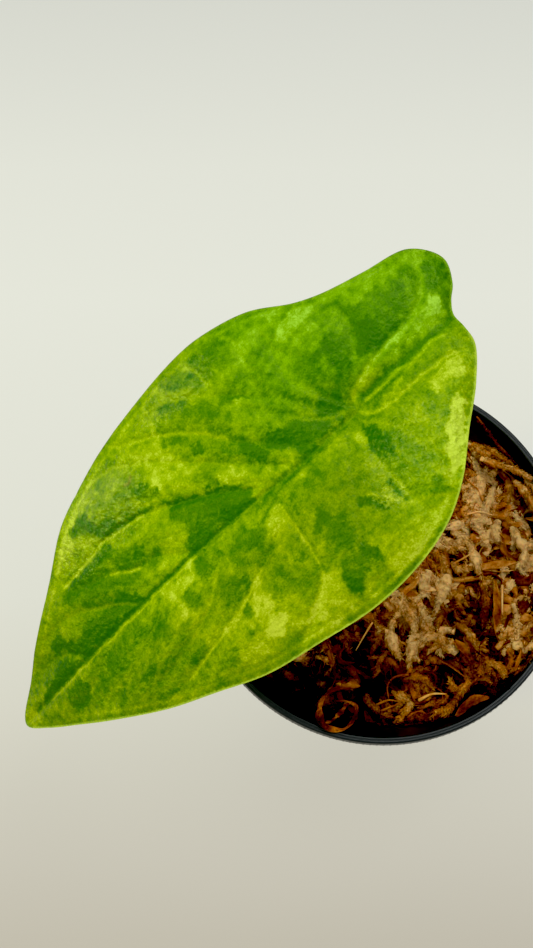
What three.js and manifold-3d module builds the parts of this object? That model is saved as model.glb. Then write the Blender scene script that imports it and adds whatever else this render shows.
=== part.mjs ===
// Young Alocasia scalprum with one shield-shaped leaf, in a small round nursery pot of moss.
// Millimetres, +Z up. The origin is the centre of the pot's flat base.
import * as THREE from 'three';
import { mergeVertices } from 'three/addons/utils/BufferGeometryUtils.js';
import Module from 'manifold-3d';

const wasm = await Module();
wasm.setup();

// Pot
const potHeight = 85;
const lipRadius = 50;
const lipHeight = 4.6;
const lipTopWidth = 3.2;
const lipRounding = 0.7;
const lipBevel = 1.7;
const lipGrooveDepth = 0.35;
const wallThickness = 1.4;
const floorThickness = 1.8;
const baseRadius = 34;
const shoulderDrop = 12;
const shoulderStep = 0.9;
const shoulderSlope = 1;
const baseRounding = 1.2;
const potSegments = 48;
const lipRibCount = 72;
const lipRibDepth = 0.35;
const lipRibHeight = 1.8;
const drainSlotCount = 8;
const drainSlotSize = 6;

// Moss
const seatGap = 0.35;
const mossEdgeHeight = potHeight - 15;
const mossMound = 7;
const mossDip = 4;
const mossLump = 0.9;
const dipDirection = new THREE.Vector2(-0.8, -0.6);
const strandCount = 38;
const strandLengths = [16, 30];
const strandHalfWidths = [1.7, 2.6];
const strandLifts = [0.9, 3];
const strandBend = 2.6;
const sheathRoute = [
  [-17, -29, 65], [-18.5, -33.5, 71], [-17.5, -38, 76], [-13.5, -40.8, 79.5],
  [-9.5, -39.8, 79], [-8.2, -36, 75], [-9.5, -32, 70], [-10.5, -29, 66],
];

// Corm and roots
const cormTop = 62;
const cormRadius = 8;
const cormHeight = 22;
const cormNeckRadius = 3.9;
const rootCount = 7;
const rootReach = 24;
const rootRadius = 1.1;

// Leaf stalk
const stalkBaseRadius = 3.9;
const stalkMiddleRadius = 2.1;
const stalkTopRadius = 1.5;
const stalkFlare = 0.8;
const sheathLength = 42;
const petioleRoute = [
  [0, 0, cormTop + 0.3], [0.5, 0.4, 78], [3, 5, 102], [3.5, 11, 130],
  [-1.5, 13.2, 153], [-7.2, 11.6, 165], [-10.2, 9.6, 169.8], [-11.15, 8.85, 173.45],
];

// Leaf blade: its own frame has x along the midrib towards the tip, y across, z up.
// The seat is the point where the stalk meets the blade from below.
const seat = new THREE.Vector3(-12.1, 8.1, 177);
const bladeYaw = THREE.MathUtils.degToRad(-142.2);
const bladeSlope = THREE.MathUtils.degToRad(18);
const bendRadius = 260;
const bladeThickness = 0.9;
const keelRise = 0.16;
const keelRounding = 3;
const sideFall = 0.004;
const lobeFall = 0.0022;
const funnelDepth = 2.2;
const funnelRadius = 7;
const seamDepth = 1.9;
const seamHalfWidth = 2.4;
const marginRoll = 1.3;
const marginWave = 0.7;
const marginWaves = 13;
const quiltHeight = 0.55;
const quiltPitch = 15;
const quiltSweep = 1.5;
const ribDepth = 1.3;
const ribHalfWidth = 1.3;
const tip = [109.4, 0.3];
const notch = [-28.6, -3];
const leftLobeEnd = [-35.4, -13.4];
const rightLobeEnd = [-27.5, 4.5];
const outline = [
  notch, [-28.3, 0.5], rightLobeEnd, [-22.5, 11.5], [-16, 17.8], [-8, 25.3], [0, 30.1],
  [10.5, 33], [23, 33.7], [37, 31.6], [50, 29.5], [62, 25.1], [74, 20.3], [86, 14.3],
  [96, 8.8], [104, 4.6], tip, [100, -5.6], [88, -12.5], [76, -19.5], [66, -25.6],
  [55, -29.2], [42, -32], [28, -34.1], [16, -34.3], [4.5, -31.2], [-4.5, -25.9],
  [-10, -23.8], [-20, -21], [-30.4, -20.2], leftLobeEnd, [-33.4, -8], [-30.4, -5.4],
];
const outlineSamples = 100;
const bladeRings = 10;

const materials = {
  pot: new THREE.MeshStandardMaterial({ color: 0x1c2426, roughness: 0.55, metalness: 0 }),
  moss: new THREE.MeshStandardMaterial({ color: 0xa9824f, roughness: 1, metalness: 0 }),
  corm: new THREE.MeshStandardMaterial({ color: 0x7a5a3a, roughness: 0.9, metalness: 0 }),
  petiole: new THREE.MeshStandardMaterial({ color: 0x7f9a3c, roughness: 0.5, metalness: 0 }),
  blade: new THREE.MeshStandardMaterial({ color: 0x7da51e, roughness: 0.4, metalness: 0 }),
};

function randomFrom(seed) {
  let state = seed;
  return () => {
    state = (state * 1664525 + 1013904223) % 4294967296;
    return state / 4294967296;
  };
}

const mix = THREE.MathUtils.lerp;
const smooth = THREE.MathUtils.smoothstep;

// Solids: closed geometry to a manifold and back
function solidOf(geometry) {
  const bare = geometry.clone();
  bare.deleteAttribute('normal');
  bare.deleteAttribute('uv');
  const merged = mergeVertices(bare, 1e-4);
  const index = merged.index.array;
  const triangles = [];
  for (let i = 0; i < index.length; i += 3) {
    const [a, b, c] = [index[i], index[i + 1], index[i + 2]];
    if (a !== b && b !== c && c !== a) triangles.push(a, b, c);
  }
  return new wasm.Manifold(new wasm.Mesh({
    numProp: 3,
    vertProperties: new Float32Array(merged.attributes.position.array),
    triVerts: new Uint32Array(triangles),
  }));
}

function geometryOf(solid) {
  const mesh = solid.getMesh();
  const geometry = new THREE.BufferGeometry();
  geometry.setAttribute('position', new THREE.BufferAttribute(mesh.vertProperties, 3));
  geometry.setIndex(Array.from(mesh.triVerts));
  geometry.computeVertexNormals();
  return geometry;
}

// Of the closed skins in a fused mesh, keeps the one that holds the most: this fills the
// small hollows that crossing strands seal off, and drops loose scraps
function largestSkin(geometry) {
  const index = geometry.index.array;
  const position = geometry.attributes.position;
  const owner = Array.from({ length: position.count }, (_, i) => i);
  const rootOf = (i) => {
    let root = i;
    while (owner[root] !== root) root = owner[root];
    owner[i] = root;
    return root;
  };
  for (let i = 0; i < index.length; i += 3) {
    owner[rootOf(index[i + 1])] = rootOf(index[i]);
    owner[rootOf(index[i + 2])] = rootOf(index[i]);
  }
  const volumes = new Map();
  const corners = [new THREE.Vector3(), new THREE.Vector3(), new THREE.Vector3()];
  for (let i = 0; i < index.length; i += 3) {
    corners.forEach((corner, k) => corner.fromBufferAttribute(position, index[i + k]));
    const volume = corners[0].dot(corners[1].clone().cross(corners[2])) / 6;
    const root = rootOf(index[i]);
    volumes.set(root, (volumes.get(root) ?? 0) + volume);
  }
  const [largest] = [...volumes.entries()].sort((a, b) => b[1] - a[1])[0];
  const kept = [];
  for (let i = 0; i < index.length; i += 3) {
    if (rootOf(index[i]) === largest) kept.push(index[i], index[i + 1], index[i + 2]);
  }
  geometry.setIndex(kept);
  return geometry;
}

function joined(solids) {
  return solids.reduce((sum, solid) => sum.add(solid));
}

// A body turned about the vertical axis from a profile of [radius, height] points
function turned(profile, segments) {
  const points = profile.map(([radius, height]) => new THREE.Vector2(radius, height));
  return new THREE.LatheGeometry(points, segments).rotateX(Math.PI / 2);
}

// A closed skin through rings of points, with a flat fan over each end
function lofted(rings) {
  const sides = rings[0].length;
  const positions = rings.flat().flatMap((point) => [point.x, point.y, point.z]);
  const index = [];
  for (let ring = 0; ring < rings.length - 1; ring += 1) {
    for (let side = 0; side < sides; side += 1) {
      const a = ring * sides + side;
      const b = ring * sides + (side + 1) % sides;
      index.push(a, b, b + sides, a, b + sides, a + sides);
    }
  }
  const last = (rings.length - 1) * sides;
  for (let side = 1; side < sides - 1; side += 1) {
    index.push(0, side + 1, side, last, last + side, last + side + 1);
  }
  const geometry = new THREE.BufferGeometry();
  geometry.setAttribute('position', new THREE.Float32BufferAttribute(positions, 3));
  geometry.setIndex(index);
  geometry.computeVertexNormals();
  return geometry;
}

// Rings of points around a curve: radiusAt(part of the way) gives [across, up] half sizes
function ringsAlong(curve, steps, sides, radiusAt) {
  const frames = curve.computeFrenetFrames(steps, false);
  const rings = [];
  for (let step = 0; step <= steps; step += 1) {
    const part = step / steps;
    const centre = curve.getPointAt(part);
    const [wide, high] = radiusAt(part);
    const ring = [];
    for (let side = 0; side < sides; side += 1) {
      const turn = (side / sides) * 2 * Math.PI;
      ring.push(centre.clone()
        .addScaledVector(frames.normals[step], wide * Math.cos(turn))
        .addScaledVector(frames.binormals[step], high * Math.sin(turn)));
    }
    rings.push(ring);
  }
  return rings;
}

// Pot
const shoulderHeight = potHeight - shoulderDrop;
const lipFoot = potHeight - lipHeight;
const lipInnerRadius = lipRadius - lipTopWidth;

function outerWallRadius(height) {
  return mix(baseRadius, lipInnerRadius - shoulderStep, height / potHeight) + 0.6;
}

function innerWallRadius(height) {
  return outerWallRadius(height) - wallThickness
    + (height > shoulderHeight ? shoulderStep : 0);
}

function potBody() {
  const ledge = shoulderHeight + shoulderSlope;
  return solidOf(turned([
    [0, 0], [baseRadius - baseRounding, 0], [outerWallRadius(baseRounding), baseRounding],
    [outerWallRadius(shoulderHeight), shoulderHeight],
    [outerWallRadius(shoulderHeight) + shoulderStep, ledge],
    [outerWallRadius(lipFoot) + shoulderStep, lipFoot],
    [lipRadius - lipRounding, lipFoot], [lipRadius, lipFoot + lipRounding],
    [lipRadius, potHeight - lipBevel],
    [lipRadius - lipBevel * 0.5, potHeight - lipGrooveDepth],
    [lipRadius - lipBevel * 0.9, potHeight - lipGrooveDepth],
    [lipRadius - lipBevel, potHeight],
    [lipInnerRadius + lipRounding, potHeight], [lipInnerRadius, potHeight - lipRounding],
    [innerWallRadius(ledge), ledge],
    [innerWallRadius(shoulderHeight), shoulderHeight - shoulderSlope],
    [innerWallRadius(floorThickness), floorThickness], [0, floorThickness],
  ], potSegments));
}

// Fine upright ribs round the lip's outer edge
function lipRibs() {
  const star = new THREE.Shape();
  const pointCount = lipRibCount * 2;
  for (let i = 0; i < pointCount; i += 1) {
    const radius = lipRadius + (i % 2 ? lipRibDepth : -lipRibDepth);
    const turn = (i / pointCount) * 2 * Math.PI;
    const place = [radius * Math.cos(turn), radius * Math.sin(turn)];
    if (i === 0) star.moveTo(...place);
    else star.lineTo(...place);
  }
  const bore = new THREE.Path();
  bore.absarc(0, 0, lipRadius - lipTopWidth / 2, 0, 2 * Math.PI, true);
  star.holes.push(bore);
  const ribs = new THREE.ExtrudeGeometry(star, {
    depth: lipRibHeight, bevelEnabled: false, curveSegments: potSegments,
  });
  ribs.translate(0, 0, lipFoot + lipRounding * 1.3);
  return solidOf(ribs);
}

function drainSlots() {
  const slots = [];
  for (let i = 0; i < drainSlotCount; i += 1) {
    const slot = new THREE.BoxGeometry(drainSlotSize * 1.5, drainSlotSize, drainSlotSize);
    slot.translate(baseRadius, 0, 0);
    slot.rotateZ(((i + 0.5) / drainSlotCount) * 2 * Math.PI);
    slots.push(solidOf(slot));
  }
  return joined(slots);
}

function makePot() {
  return geometryOf(potBody().add(lipRibs()).subtract(drainSlots()));
}

// Moss
function mossSurface(x, y) {
  const reach = Math.hypot(x, y) / innerWallRadius(mossEdgeHeight);
  const along = (x * dipDirection.x + y * dipDirection.y) / lipRadius;
  const mound = mossMound * (1 - reach * reach);
  const lumps = Math.sin(x * 0.31 + 1) * Math.cos(y * 0.27) + 0.7 * Math.sin(x * 0.17 - y * 0.23);
  return mossEdgeHeight + mound - mossDip * smooth(along, 0, 1) + mossLump * lumps;
}

function mossBed() {
  const sides = 32;
  const ringParts = [1, 0.84, 0.66, 0.48, 0.3, 0.14];
  const ringAt = (radius, heightAt) => Array.from({ length: sides }, (_, side) => {
    const turn = (side / sides) * 2 * Math.PI;
    const [x, y] = [radius * Math.cos(turn), radius * Math.sin(turn)];
    return new THREE.Vector3(x, y, heightAt(x, y));
  });
  const bottom = floorThickness + seatGap;
  const low = ringAt(innerWallRadius(bottom) - seatGap, () => bottom);
  const top = innerWallRadius(mossEdgeHeight - mossDip) - seatGap - 0.2;
  return solidOf(lofted([low, ...ringParts.map((part) => ringAt(top * part, mossSurface))]));
}

function mossStrand(random) {
  const reach = (innerWallRadius(mossEdgeHeight) - strandHalfWidths[1]) * Math.sqrt(random());
  const bearing = random() * 2 * Math.PI;
  const heading = random() * 2 * Math.PI;
  const bend = (random() - 0.5) * strandBend;
  const length = mix(...strandLengths, random());
  const halfWidth = mix(...strandHalfWidths, random());
  const lift = mix(...strandLifts, random());
  const place = new THREE.Vector2(reach * Math.cos(bearing), reach * Math.sin(bearing));
  const points = [];
  for (let i = -2; i <= 2; i += 1) {
    const run = (i / 4) * length;
    const turn = heading + (bend * i) / 4;
    const x = place.x + run * Math.cos(turn);
    const y = place.y + run * Math.sin(turn);
    const rise = lift * (1 - (i * i) / 2.6);
    points.push(new THREE.Vector3(x, y, mossSurface(x, y) + rise));
  }
  const curve = new THREE.CatmullRomCurve3(points);
  const size = (part) => {
    const taper = 0.35 + 0.65 * Math.sin(Math.PI * Math.min(Math.max(part, 0.05), 0.95));
    return [halfWidth * taper, halfWidth * 0.7 * taper];
  };
  return solidOf(lofted(ringsAlong(curve, 4, 4, size)));
}

// The room that the moss may fill: clear of the pot's wall
function mossRoom() {
  const bottom = floorThickness + seatGap;
  const rim = potHeight - 1;
  return solidOf(turned([
    [0, bottom], [innerWallRadius(bottom) - seatGap, bottom],
    [innerWallRadius(shoulderHeight) - seatGap, shoulderHeight],
    [innerWallRadius(shoulderHeight) - seatGap, rim], [0, rim],
  ], potSegments));
}

// The dry sheath that stands curled against the wall
function curledSheath() {
  const curve = new THREE.CatmullRomCurve3(sheathRoute.map((p) => new THREE.Vector3(...p)));
  const size = (part) => [mix(1.5, 0.8, part), mix(0.9, 0.6, part)];
  return solidOf(lofted(ringsAlong(curve, 9, 5, size)));
}

function makeMoss() {
  const random = randomFrom(21);
  const strands = Array.from({ length: strandCount }, () => mossStrand(random));
  strands.push(curledSheath());
  const stalkHole = new THREE.CylinderGeometry(
    stalkBaseRadius + 0.6, stalkBaseRadius + 0.6, potHeight - cormTop + 4, 20,
  );
  stalkHole.rotateX(Math.PI / 2).translate(0, 0, (potHeight + cormTop) / 2);
  return largestSkin(geometryOf(joined([mossBed(), ...strands])
    .intersect(mossRoom())
    .subtract(cormSolid(seatGap))
    .subtract(solidOf(stalkHole))));
}

// Corm and roots: spare makes it fatter all over, for the hole that it sits in
function cormSolid(spare) {
  const foot = cormTop - cormHeight;
  const body = solidOf(turned([
    [0, foot - spare], [3 + spare, foot - spare], [cormRadius * 0.8 + spare, foot + 4],
    [cormRadius + spare, foot + 9], [cormRadius * 0.85 + spare, foot + 14],
    [cormNeckRadius + 0.8 + spare, cormTop - 4], [cormNeckRadius + spare, cormTop - 2],
    [cormNeckRadius + spare, cormTop + spare], [0, cormTop + spare],
  ], 20));
  const roots = Array.from({ length: rootCount }, (_, i) => {
    const turn = (i / rootCount) * 2 * Math.PI + 0.4;
    const reach = rootReach * (i % 2 ? 0.8 : 1);
    const at = (radius, height) => new THREE.Vector3(
      radius * Math.cos(turn + height * 0.01), radius * Math.sin(turn + height * 0.01), height,
    );
    const curve = new THREE.CatmullRomCurve3([
      at(cormRadius * 0.4, foot + 5), at(cormRadius * 1.3, foot - 1),
      at(reach * 0.7, foot - 12), at(reach, foot - 26 + spare * -1),
    ]);
    const size = (part) => {
      const radius = mix(rootRadius, rootRadius * 0.55, part) + spare;
      return [radius, radius];
    };
    return solidOf(lofted(ringsAlong(curve, 5, 6, size)));
  });
  return joined([body, ...roots]);
}

// Leaf stalk, wider where its sheath wraps the base and flared under the blade
function makePetiole() {
  const curve = new THREE.CatmullRomCurve3(petioleRoute.map((p) => new THREE.Vector3(...p)));
  const length = curve.getLength();
  const size = (part) => {
    const run = part * length;
    const sheath = 1 - smooth(run, 8, sheathLength);
    const radius = mix(stalkMiddleRadius, stalkTopRadius, part)
      + (stalkBaseRadius - stalkMiddleRadius) * sheath
      + stalkFlare * smooth(run, length - 5, length);
    return [radius, radius];
  };
  return lofted(ringsAlong(curve, 26, 12, size));
}

// Leaf blade
function distanceToSeam(along, across) {
  const part = (along * notch[0] + across * notch[1]) / (notch[0] ** 2 + notch[1] ** 2);
  const held = THREE.MathUtils.clamp(part, 0, 1);
  return Math.hypot(along - held * notch[0], across - held * notch[1]);
}

function bladeHeight(along, across, edge, round) {
  const keel = keelRise * (Math.hypot(across, keelRounding) - keelRounding);
  const fall = sideFall * across * across + lobeFall * Math.min(along, 0) ** 2;
  const funnel = funnelDepth * Math.exp(-(along ** 2 + across ** 2) / funnelRadius ** 2);
  const seam = along < 0
    ? seamDepth * Math.exp(-((distanceToSeam(along, across) / seamHalfWidth) ** 2))
      * smooth(-along, 0, 6) * (1 - 0.7 * smooth(-along, 12, 28))
    : 0;
  const quilt = quiltHeight * smooth(Math.abs(across), 1, 9) * (1 - edge ** 4)
    * Math.cos(2 * Math.PI * (along - quiltSweep * Math.abs(across)) / quiltPitch);
  const roll = marginRoll * smooth(edge, 0.7, 1) ** 2;
  const wave = marginWave * edge ** 4 * Math.sin(round * 2 * Math.PI * marginWaves);
  return keel - fall - funnel - seam + quilt - roll + wave;
}

// Ribs under the blade: the midrib, and one rib into each rear lobe
function ribBelow(along, across) {
  const forward = smooth(along, 3, 9) * mix(1, 0.3, Math.max(along, 0) / tip[0]);
  const midrib = along > 0 ? forward * Math.exp(-((across / ribHalfWidth) ** 2)) : 0;
  const lobeRib = (end) => {
    const length = Math.hypot(...end);
    const run = (along * end[0] + across * end[1]) / length;
    const away = (along * end[1] - across * end[0]) / length;
    return run > 0
      ? smooth(run, 3, 9) * mix(0.9, 0.2, run / length) * Math.exp(-((away / ribHalfWidth) ** 2))
      : 0;
  };
  return ribDepth * Math.max(midrib, lobeRib(leftLobeEnd), lobeRib(rightLobeEnd));
}

function bladePoint(along, across, height) {
  const angle = bladeSlope + along / bendRadius;
  return new THREE.Vector3(
    bendRadius * (Math.sin(angle) - Math.sin(bladeSlope)) + height * Math.sin(angle),
    across,
    bendRadius * (Math.cos(angle) - Math.cos(bladeSlope)) + height * Math.cos(angle),
  );
}

// Both faces share one web of points: rings that grow from the seat to the outline
function makeBlade() {
  const curve = new THREE.CatmullRomCurve3(
    outline.map(([along, across]) => new THREE.Vector3(along, across, 0)), true,
  );
  const edgePoints = curve.getSpacedPoints(outlineSamples).slice(0, outlineSamples);
  const face = (isTop) => {
    const points = [];
    for (let ring = 0; ring <= bladeRings; ring += 1) {
      const edge = (ring / bladeRings) ** 0.85;
      edgePoints.slice(0, ring === 0 ? 1 : outlineSamples).forEach((point, i) => {
        const [along, across] = [point.x * edge, point.y * edge];
        const height = bladeHeight(along, across, edge, i / outlineSamples);
        const offset = isTop ? bladeThickness / 2 : -bladeThickness / 2 - ribBelow(along, across);
        points.push(bladePoint(along, across, height + offset));
      });
    }
    return points;
  };
  const perFace = 1 + bladeRings * outlineSamples;
  const index = [];
  const addBoth = (a, b, c) => index.push(a, c, b, perFace + a, perFace + b, perFace + c);
  const at = (ring, i) => 1 + (ring - 1) * outlineSamples + (i % outlineSamples);
  for (let i = 0; i < outlineSamples; i += 1) {
    addBoth(0, at(1, i), at(1, i + 1));
    for (let ring = 1; ring < bladeRings; ring += 1) {
      addBoth(at(ring, i), at(ring + 1, i), at(ring + 1, i + 1));
      addBoth(at(ring, i), at(ring + 1, i + 1), at(ring, i + 1));
    }
    const [a, b] = [at(bladeRings, i), at(bladeRings, i + 1)];
    index.push(a, perFace + b, perFace + a, a, b, perFace + b);
  }
  const positions = [...face(true), ...face(false)].flatMap((p) => [p.x, p.y, p.z]);
  const geometry = new THREE.BufferGeometry();
  geometry.setAttribute('position', new THREE.Float32BufferAttribute(positions, 3));
  geometry.setIndex(index);
  geometry.computeVertexNormals();
  return geometry;
}

function meshNamed(name, geometry, material) {
  const mesh = new THREE.Mesh(geometry, material);
  mesh.name = name;
  return mesh;
}

const plant = new THREE.Group();
plant.add(meshNamed('corm_with_roots', geometryOf(cormSolid(0)), materials.corm));
plant.add(meshNamed('petiole', makePetiole(), materials.petiole));
const blade = meshNamed('leaf_blade', makeBlade(), materials.blade);
blade.position.copy(seat);
blade.rotation.z = bladeYaw;
plant.add(blade);

const potted = new THREE.Group();
potted.add(meshNamed('pot', makePot(), materials.pot));
potted.add(meshNamed('moss_bed', makeMoss(), materials.moss));
potted.add(plant);

export default potted;
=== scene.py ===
import math

import bpy
import numpy as np
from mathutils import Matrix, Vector
from mathutils.geometry import delaunay_2d_cdt


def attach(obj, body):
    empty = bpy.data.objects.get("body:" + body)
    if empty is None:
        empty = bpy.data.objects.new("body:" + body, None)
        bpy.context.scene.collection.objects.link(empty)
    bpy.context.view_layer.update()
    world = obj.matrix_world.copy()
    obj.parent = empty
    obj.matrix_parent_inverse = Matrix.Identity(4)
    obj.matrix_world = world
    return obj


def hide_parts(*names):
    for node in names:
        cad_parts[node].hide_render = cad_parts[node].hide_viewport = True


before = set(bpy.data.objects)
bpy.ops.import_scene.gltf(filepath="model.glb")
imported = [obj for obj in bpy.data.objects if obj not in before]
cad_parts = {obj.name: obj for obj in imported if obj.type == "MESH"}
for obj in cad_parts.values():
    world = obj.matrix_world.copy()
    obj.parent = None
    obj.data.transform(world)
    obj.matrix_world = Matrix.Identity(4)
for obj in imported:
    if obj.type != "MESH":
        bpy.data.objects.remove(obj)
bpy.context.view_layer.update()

MM = 0.001
BODY = "root"

# Camera: its tilt is in degrees from straight down
CAMERA_PLACE = (-30.2, -86.4, 447.5)
CAMERA_TILT = 16.65
CAMERA_LENS = 53.16
BLACK_LEVEL = 0.012

# Studio, in metres: lights are (name, place, diameter, power, colour)
CLIP_START = 0.01
LIGHTS = [
    ("key", (-0.25, 0.4, 1.15), 1.3, 4.9, (1, 1, 1)),
    ("window", (-1.05, -0.3, 0.76), 0.24, 5.2, (1, 0.98, 0.4)),
    ("spark", (-0.5, -0.02, 1.14), 0.26, 1.4, (0.9, 1, 0.55)),
    ("overhead", (0.3, 0.19, 1.17), 0.45, 3.4, (1, 1, 1)),
]
LIGHT_AIM = (0, 0, 0.1)
SKY_COLOUR = (1, 1, 0.98, 1)
SKY_STRENGTH = 0.35
FLOOR_HALF = 3.0
FLOOR_LEVEL = -0.0003
FLOOR_GLOW_NEAR = -0.11
FLOOR_GLOW_FAR = 0.23

# Linear colours; a ramp is a list of (place, colour)
LEAF_COLOURS = [
    (0.0, (0.012, 0.12, 0.0)), (0.15, (0.024, 0.142, 0.0)),
    (0.28, (0.046, 0.17, 0.0)), (0.37, (0.08, 0.205, 0.0)),
    (0.55, (0.142, 0.275, 0.0)), (0.68, (0.2, 0.33, 0.0005)),
    (0.82, (0.28, 0.415, 0.004)), (1.0, (0.46, 0.61, 0.05)),
]
LEAF_UNDERSIDE = [
    (0.0, (0.08, 0.2, 0.04)), (0.45, (0.16, 0.3, 0.06)), (1.0, (0.38, 0.48, 0.14)),
]
LEAF_OLIVE_TINT = (0.92, 0.76, 0.6)
LEAF_FRESH_TINT = (0.56, 0.9, 0.8)
LEAF_BROWN = (0.16, 0.1, 0.01)
# colour of the pale margin line: partly the leaf's own pale edge, partly a painted highlight
LEAF_RIM_HIGHLIGHT = (0.45, 0.57, 0.07)
STALK_COLOURS = [
    (0.0, (0.2, 0.13, 0.05)), (0.3, (0.07, 0.17, 0.012)),
    (0.6, (0.17, 0.3, 0.03)), (1.0, (0.4, 0.5, 0.12)),
]
MOSS_COLOURS = [
    (0.0, (0.004, 0.0005, 0.0002)), (0.2, (0.05, 0.006, 0.0005)),
    (0.38, (0.19, 0.038, 0.002)), (0.55, (0.4, 0.125, 0.012)),
    (0.75, (0.64, 0.27, 0.048)), (1.0, (0.96, 0.56, 0.2)),
]
POT_COLOURS = [(0.3, (0.002, 0.0065, 0.0075)), (0.7, (0.0035, 0.009, 0.0105))]
POT_DUST = (0.4, 0.36, 0.28)
CORM_COLOURS = [
    (0.3, (0.05, 0.025, 0.01)), (0.55, (0.2, 0.11, 0.05)), (0.75, (0.42, 0.3, 0.17)),
]
FLOOR_COLOURS = [(0.3, (0.14, 0.14, 0.13)), (0.7, (0.15, 0.15, 0.14))]
# The floor's glow from its near edge to its far one
FLOOR_GLOW = [
    (0.0, (0.385, 0.35, 0.29)), (0.1, (0.46, 0.435, 0.375)), (0.24, (0.555, 0.545, 0.475)),
    (0.34, (0.59, 0.595, 0.53)), (0.65, (0.63, 0.64, 0.58)), (0.8, (0.61, 0.62, 0.565)),
    (1.0, (0.53, 0.54, 0.5)),
]

# Pot
POT_HEIGHT = 85.0
LIP_RADIUS = 50.0
LIP_HEIGHT = 4.6
LIP_TOP_WIDTH = 3.2
LIP_ROUNDING = 0.7
CREST_WIDTH = 1.8
# The lip's rounded top as (distance from the outer or inner edge, depth below the top)
CREST_OUTER = [(0, 0.5), (0.15, 0.12), (0.75, 0), (0.9, 0.16), (1.05, 0)]
CREST_INNER = [(0.25, 0.03), (0, 0.4)]
CORNER_CUT = 0.14
GUIDE_DEPTH = 6.0
WALL = 1.4
FLOOR_THICKNESS = 1.8
BASE_RADIUS = 34.0
BASE_RING = 6.0
BASE_ROUNDING = 1.2
WALL_OFFSET = 0.6
SHOULDER_DEPTH = 12.0
SHOULDER_HEIGHT = POT_HEIGHT - SHOULDER_DEPTH
SHOULDER_STEP = 0.9
SHOULDER_SLOPE = 1.0
LIP_INNER_RADIUS = LIP_RADIUS - LIP_TOP_WIDTH
LIP_FOOT = POT_HEIGHT - LIP_HEIGHT
CREST_INNER_RADIUS = LIP_RADIUS - CREST_WIDTH
GUIDE_FOOT = POT_HEIGHT - GUIDE_DEPTH
KNURL_COUNT = 180
KNURL_STEPS = 4
KNURL_BAND = (0.9, 2.75)
KNURL_DEPTH = 0.24
KNURL_STAND = 0.12
DRAIN_SLOTS = 8
DRAIN_SIZE = 6.0
DRAIN_STRETCH = 1.5
SHARP_ANGLE = math.radians(50)

# Moss
MOSS_DEPTH = 15.0
MOSS_EDGE = POT_HEIGHT - MOSS_DEPTH
MOSS_MOUND = 7.0
MOSS_DIP = 4.0
MOSS_LUMP = 0.9
DIP_DIRECTION = (-0.8, -0.6)
WALL_GAP = 0.2
BANK_RISE = 11.0
BANK_DIRECTION = (0.85, -0.5)
BANK_SPAN = (14, 42)
PLAN_HEIGHT = 77.0
STALK_HOLE = 4.5
# The solid core under the strands; its top is painted near black as shade in the gaps between them
CORE_SIDES = 160
CORE_RINGS = 46
CORE_DROP = 1.2
CORE_FUZZ = 1.6
CORE_FOOT_TONE = 0.46
CORE_GAP_SHADE = 0.16
CORE_GAP_SHADE_SWING = 0.2

# Strands of moss: lengths and widths in millimetres, bends and turns in radians
CLUMP_REACH = 2.6
CLUMP_TURN = 0.9
CLUMP_TONE = 0.12
STRAND_BEND = 1.8
STRAND_WIGGLE = 0.5
STRAND_DROOP = 1.2
STRAND_RIPPLE = 0.25
TUFT_SIDES = 8
TUFT_BODY = 0.8
TUFT_FLATNESS = 0.7
TUFT_LIFT = 2.6
TONE_SWING = 0.1
LEAFLET_LEANS = (0.05, 0.5)
LEAFLET_LENGTHS = (0.5, 1.1)
LEAFLET_HALF_WIDTHS = (0.25, 0.6)
LEAFLET_THICKNESS = 0.25
LEAFLET_DRIFT = 0.22
# Tone of a leaflet's two root corners, its belly and its tip
LEAFLET_TONES = (-0.04, -0.04, 0.02, 0.06)
HAIR_SHARE = 0.2
HAIR_LEANS = (0.5, 1.3)
HAIR_HALF_WIDTH = 0.08
HAIR_THICKNESS = 0.06
SIDE_BRANCHES = 3
SIDE_BRANCH_LENGTHS = (2.5, 5)
SIDE_BRANCH_FALL = 0.28
SIDE_BRANCH_LEAFLETS = 46
BANK_SPREAD = 0.08
BANK_LIFT = 5.8
# A strip's upper side, as (place across it, height) in half widths and cups
SCRAP_SECTION = ((-1, 1), (-0.4, 0.1), (0.35, 0.25), (1, 0.9))
SCRAP_THICKNESS = 0.13
SCRAP_LIFT = 2.4
STRAW_SIDES = 5
STRAW_LIFT = 3.6
CURL_SIDES = 12
# Painted light and shade on the moss: where it turns from dark red-brown, under the leaf's
# shadow, to pale where light falls, and by how much
LIGHT_FALL_DIRECTION = (0.35, 0.9)
LIGHT_FALL_SPAN = (-40, -5)
PAINTED_SHADOW = -0.44
PAINTED_LIGHT = 0.05
SHADE_NOISE = 0.24
# Each layer as (piece, seed, clumps, strands a clump, lengths, half widths, heights over the
# moss, tones, leaflets a strand)
MOSS_LAYERS = [
    ("moss_under", 31, 100, 4, (7, 14), (1.1, 2.0), (-0.8, 1.4), (0.2, 0.56), 76),
    ("moss_middle", 32, 80, 4, (6, 13), (1.0, 1.9), (0.2, 2.4), (0.26, 0.72), 96),
    ("moss_upper", 33, 30, 4, (5, 10), (1.0, 1.8), (1.2, 3.6), (0.44, 0.92), 130),
]

# Leaf stalk
STALK_BASE_RADIUS = 3.9
STALK_MIDDLE_RADIUS = 2.1
STALK_TOP_RADIUS = 1.5
STALK_FLARE = 0.8
STALK_FLARE_LENGTH = 5.0
SHEATH_LENGTH = 42.0
STALK_SIDES = 36
STALK_STEPS = 150
PETIOLE_ROUTE = [
    (0, 0, 62.3), (0.5, 0.4, 78), (3, 5, 102), (3.5, 11, 130),
    (-1.5, 13.2, 153), (-7.2, 11.6, 165), (-10.2, 9.6, 169.8), (-11.15, 8.85, 173.45),
]

# Leaf blade: s runs along the midrib from the seat to the tip, t across it
SEAT = (-12.1, 8.1, 177.0)
BLADE_YAW = math.radians(-142.2)
BLADE_SLOPE = math.radians(18)
BEND_RADIUS = 260.0
BLADE_THICKNESS = 0.6
BLADE_GRID = 0.46
OUTLINE_STEPS = 720
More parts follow.
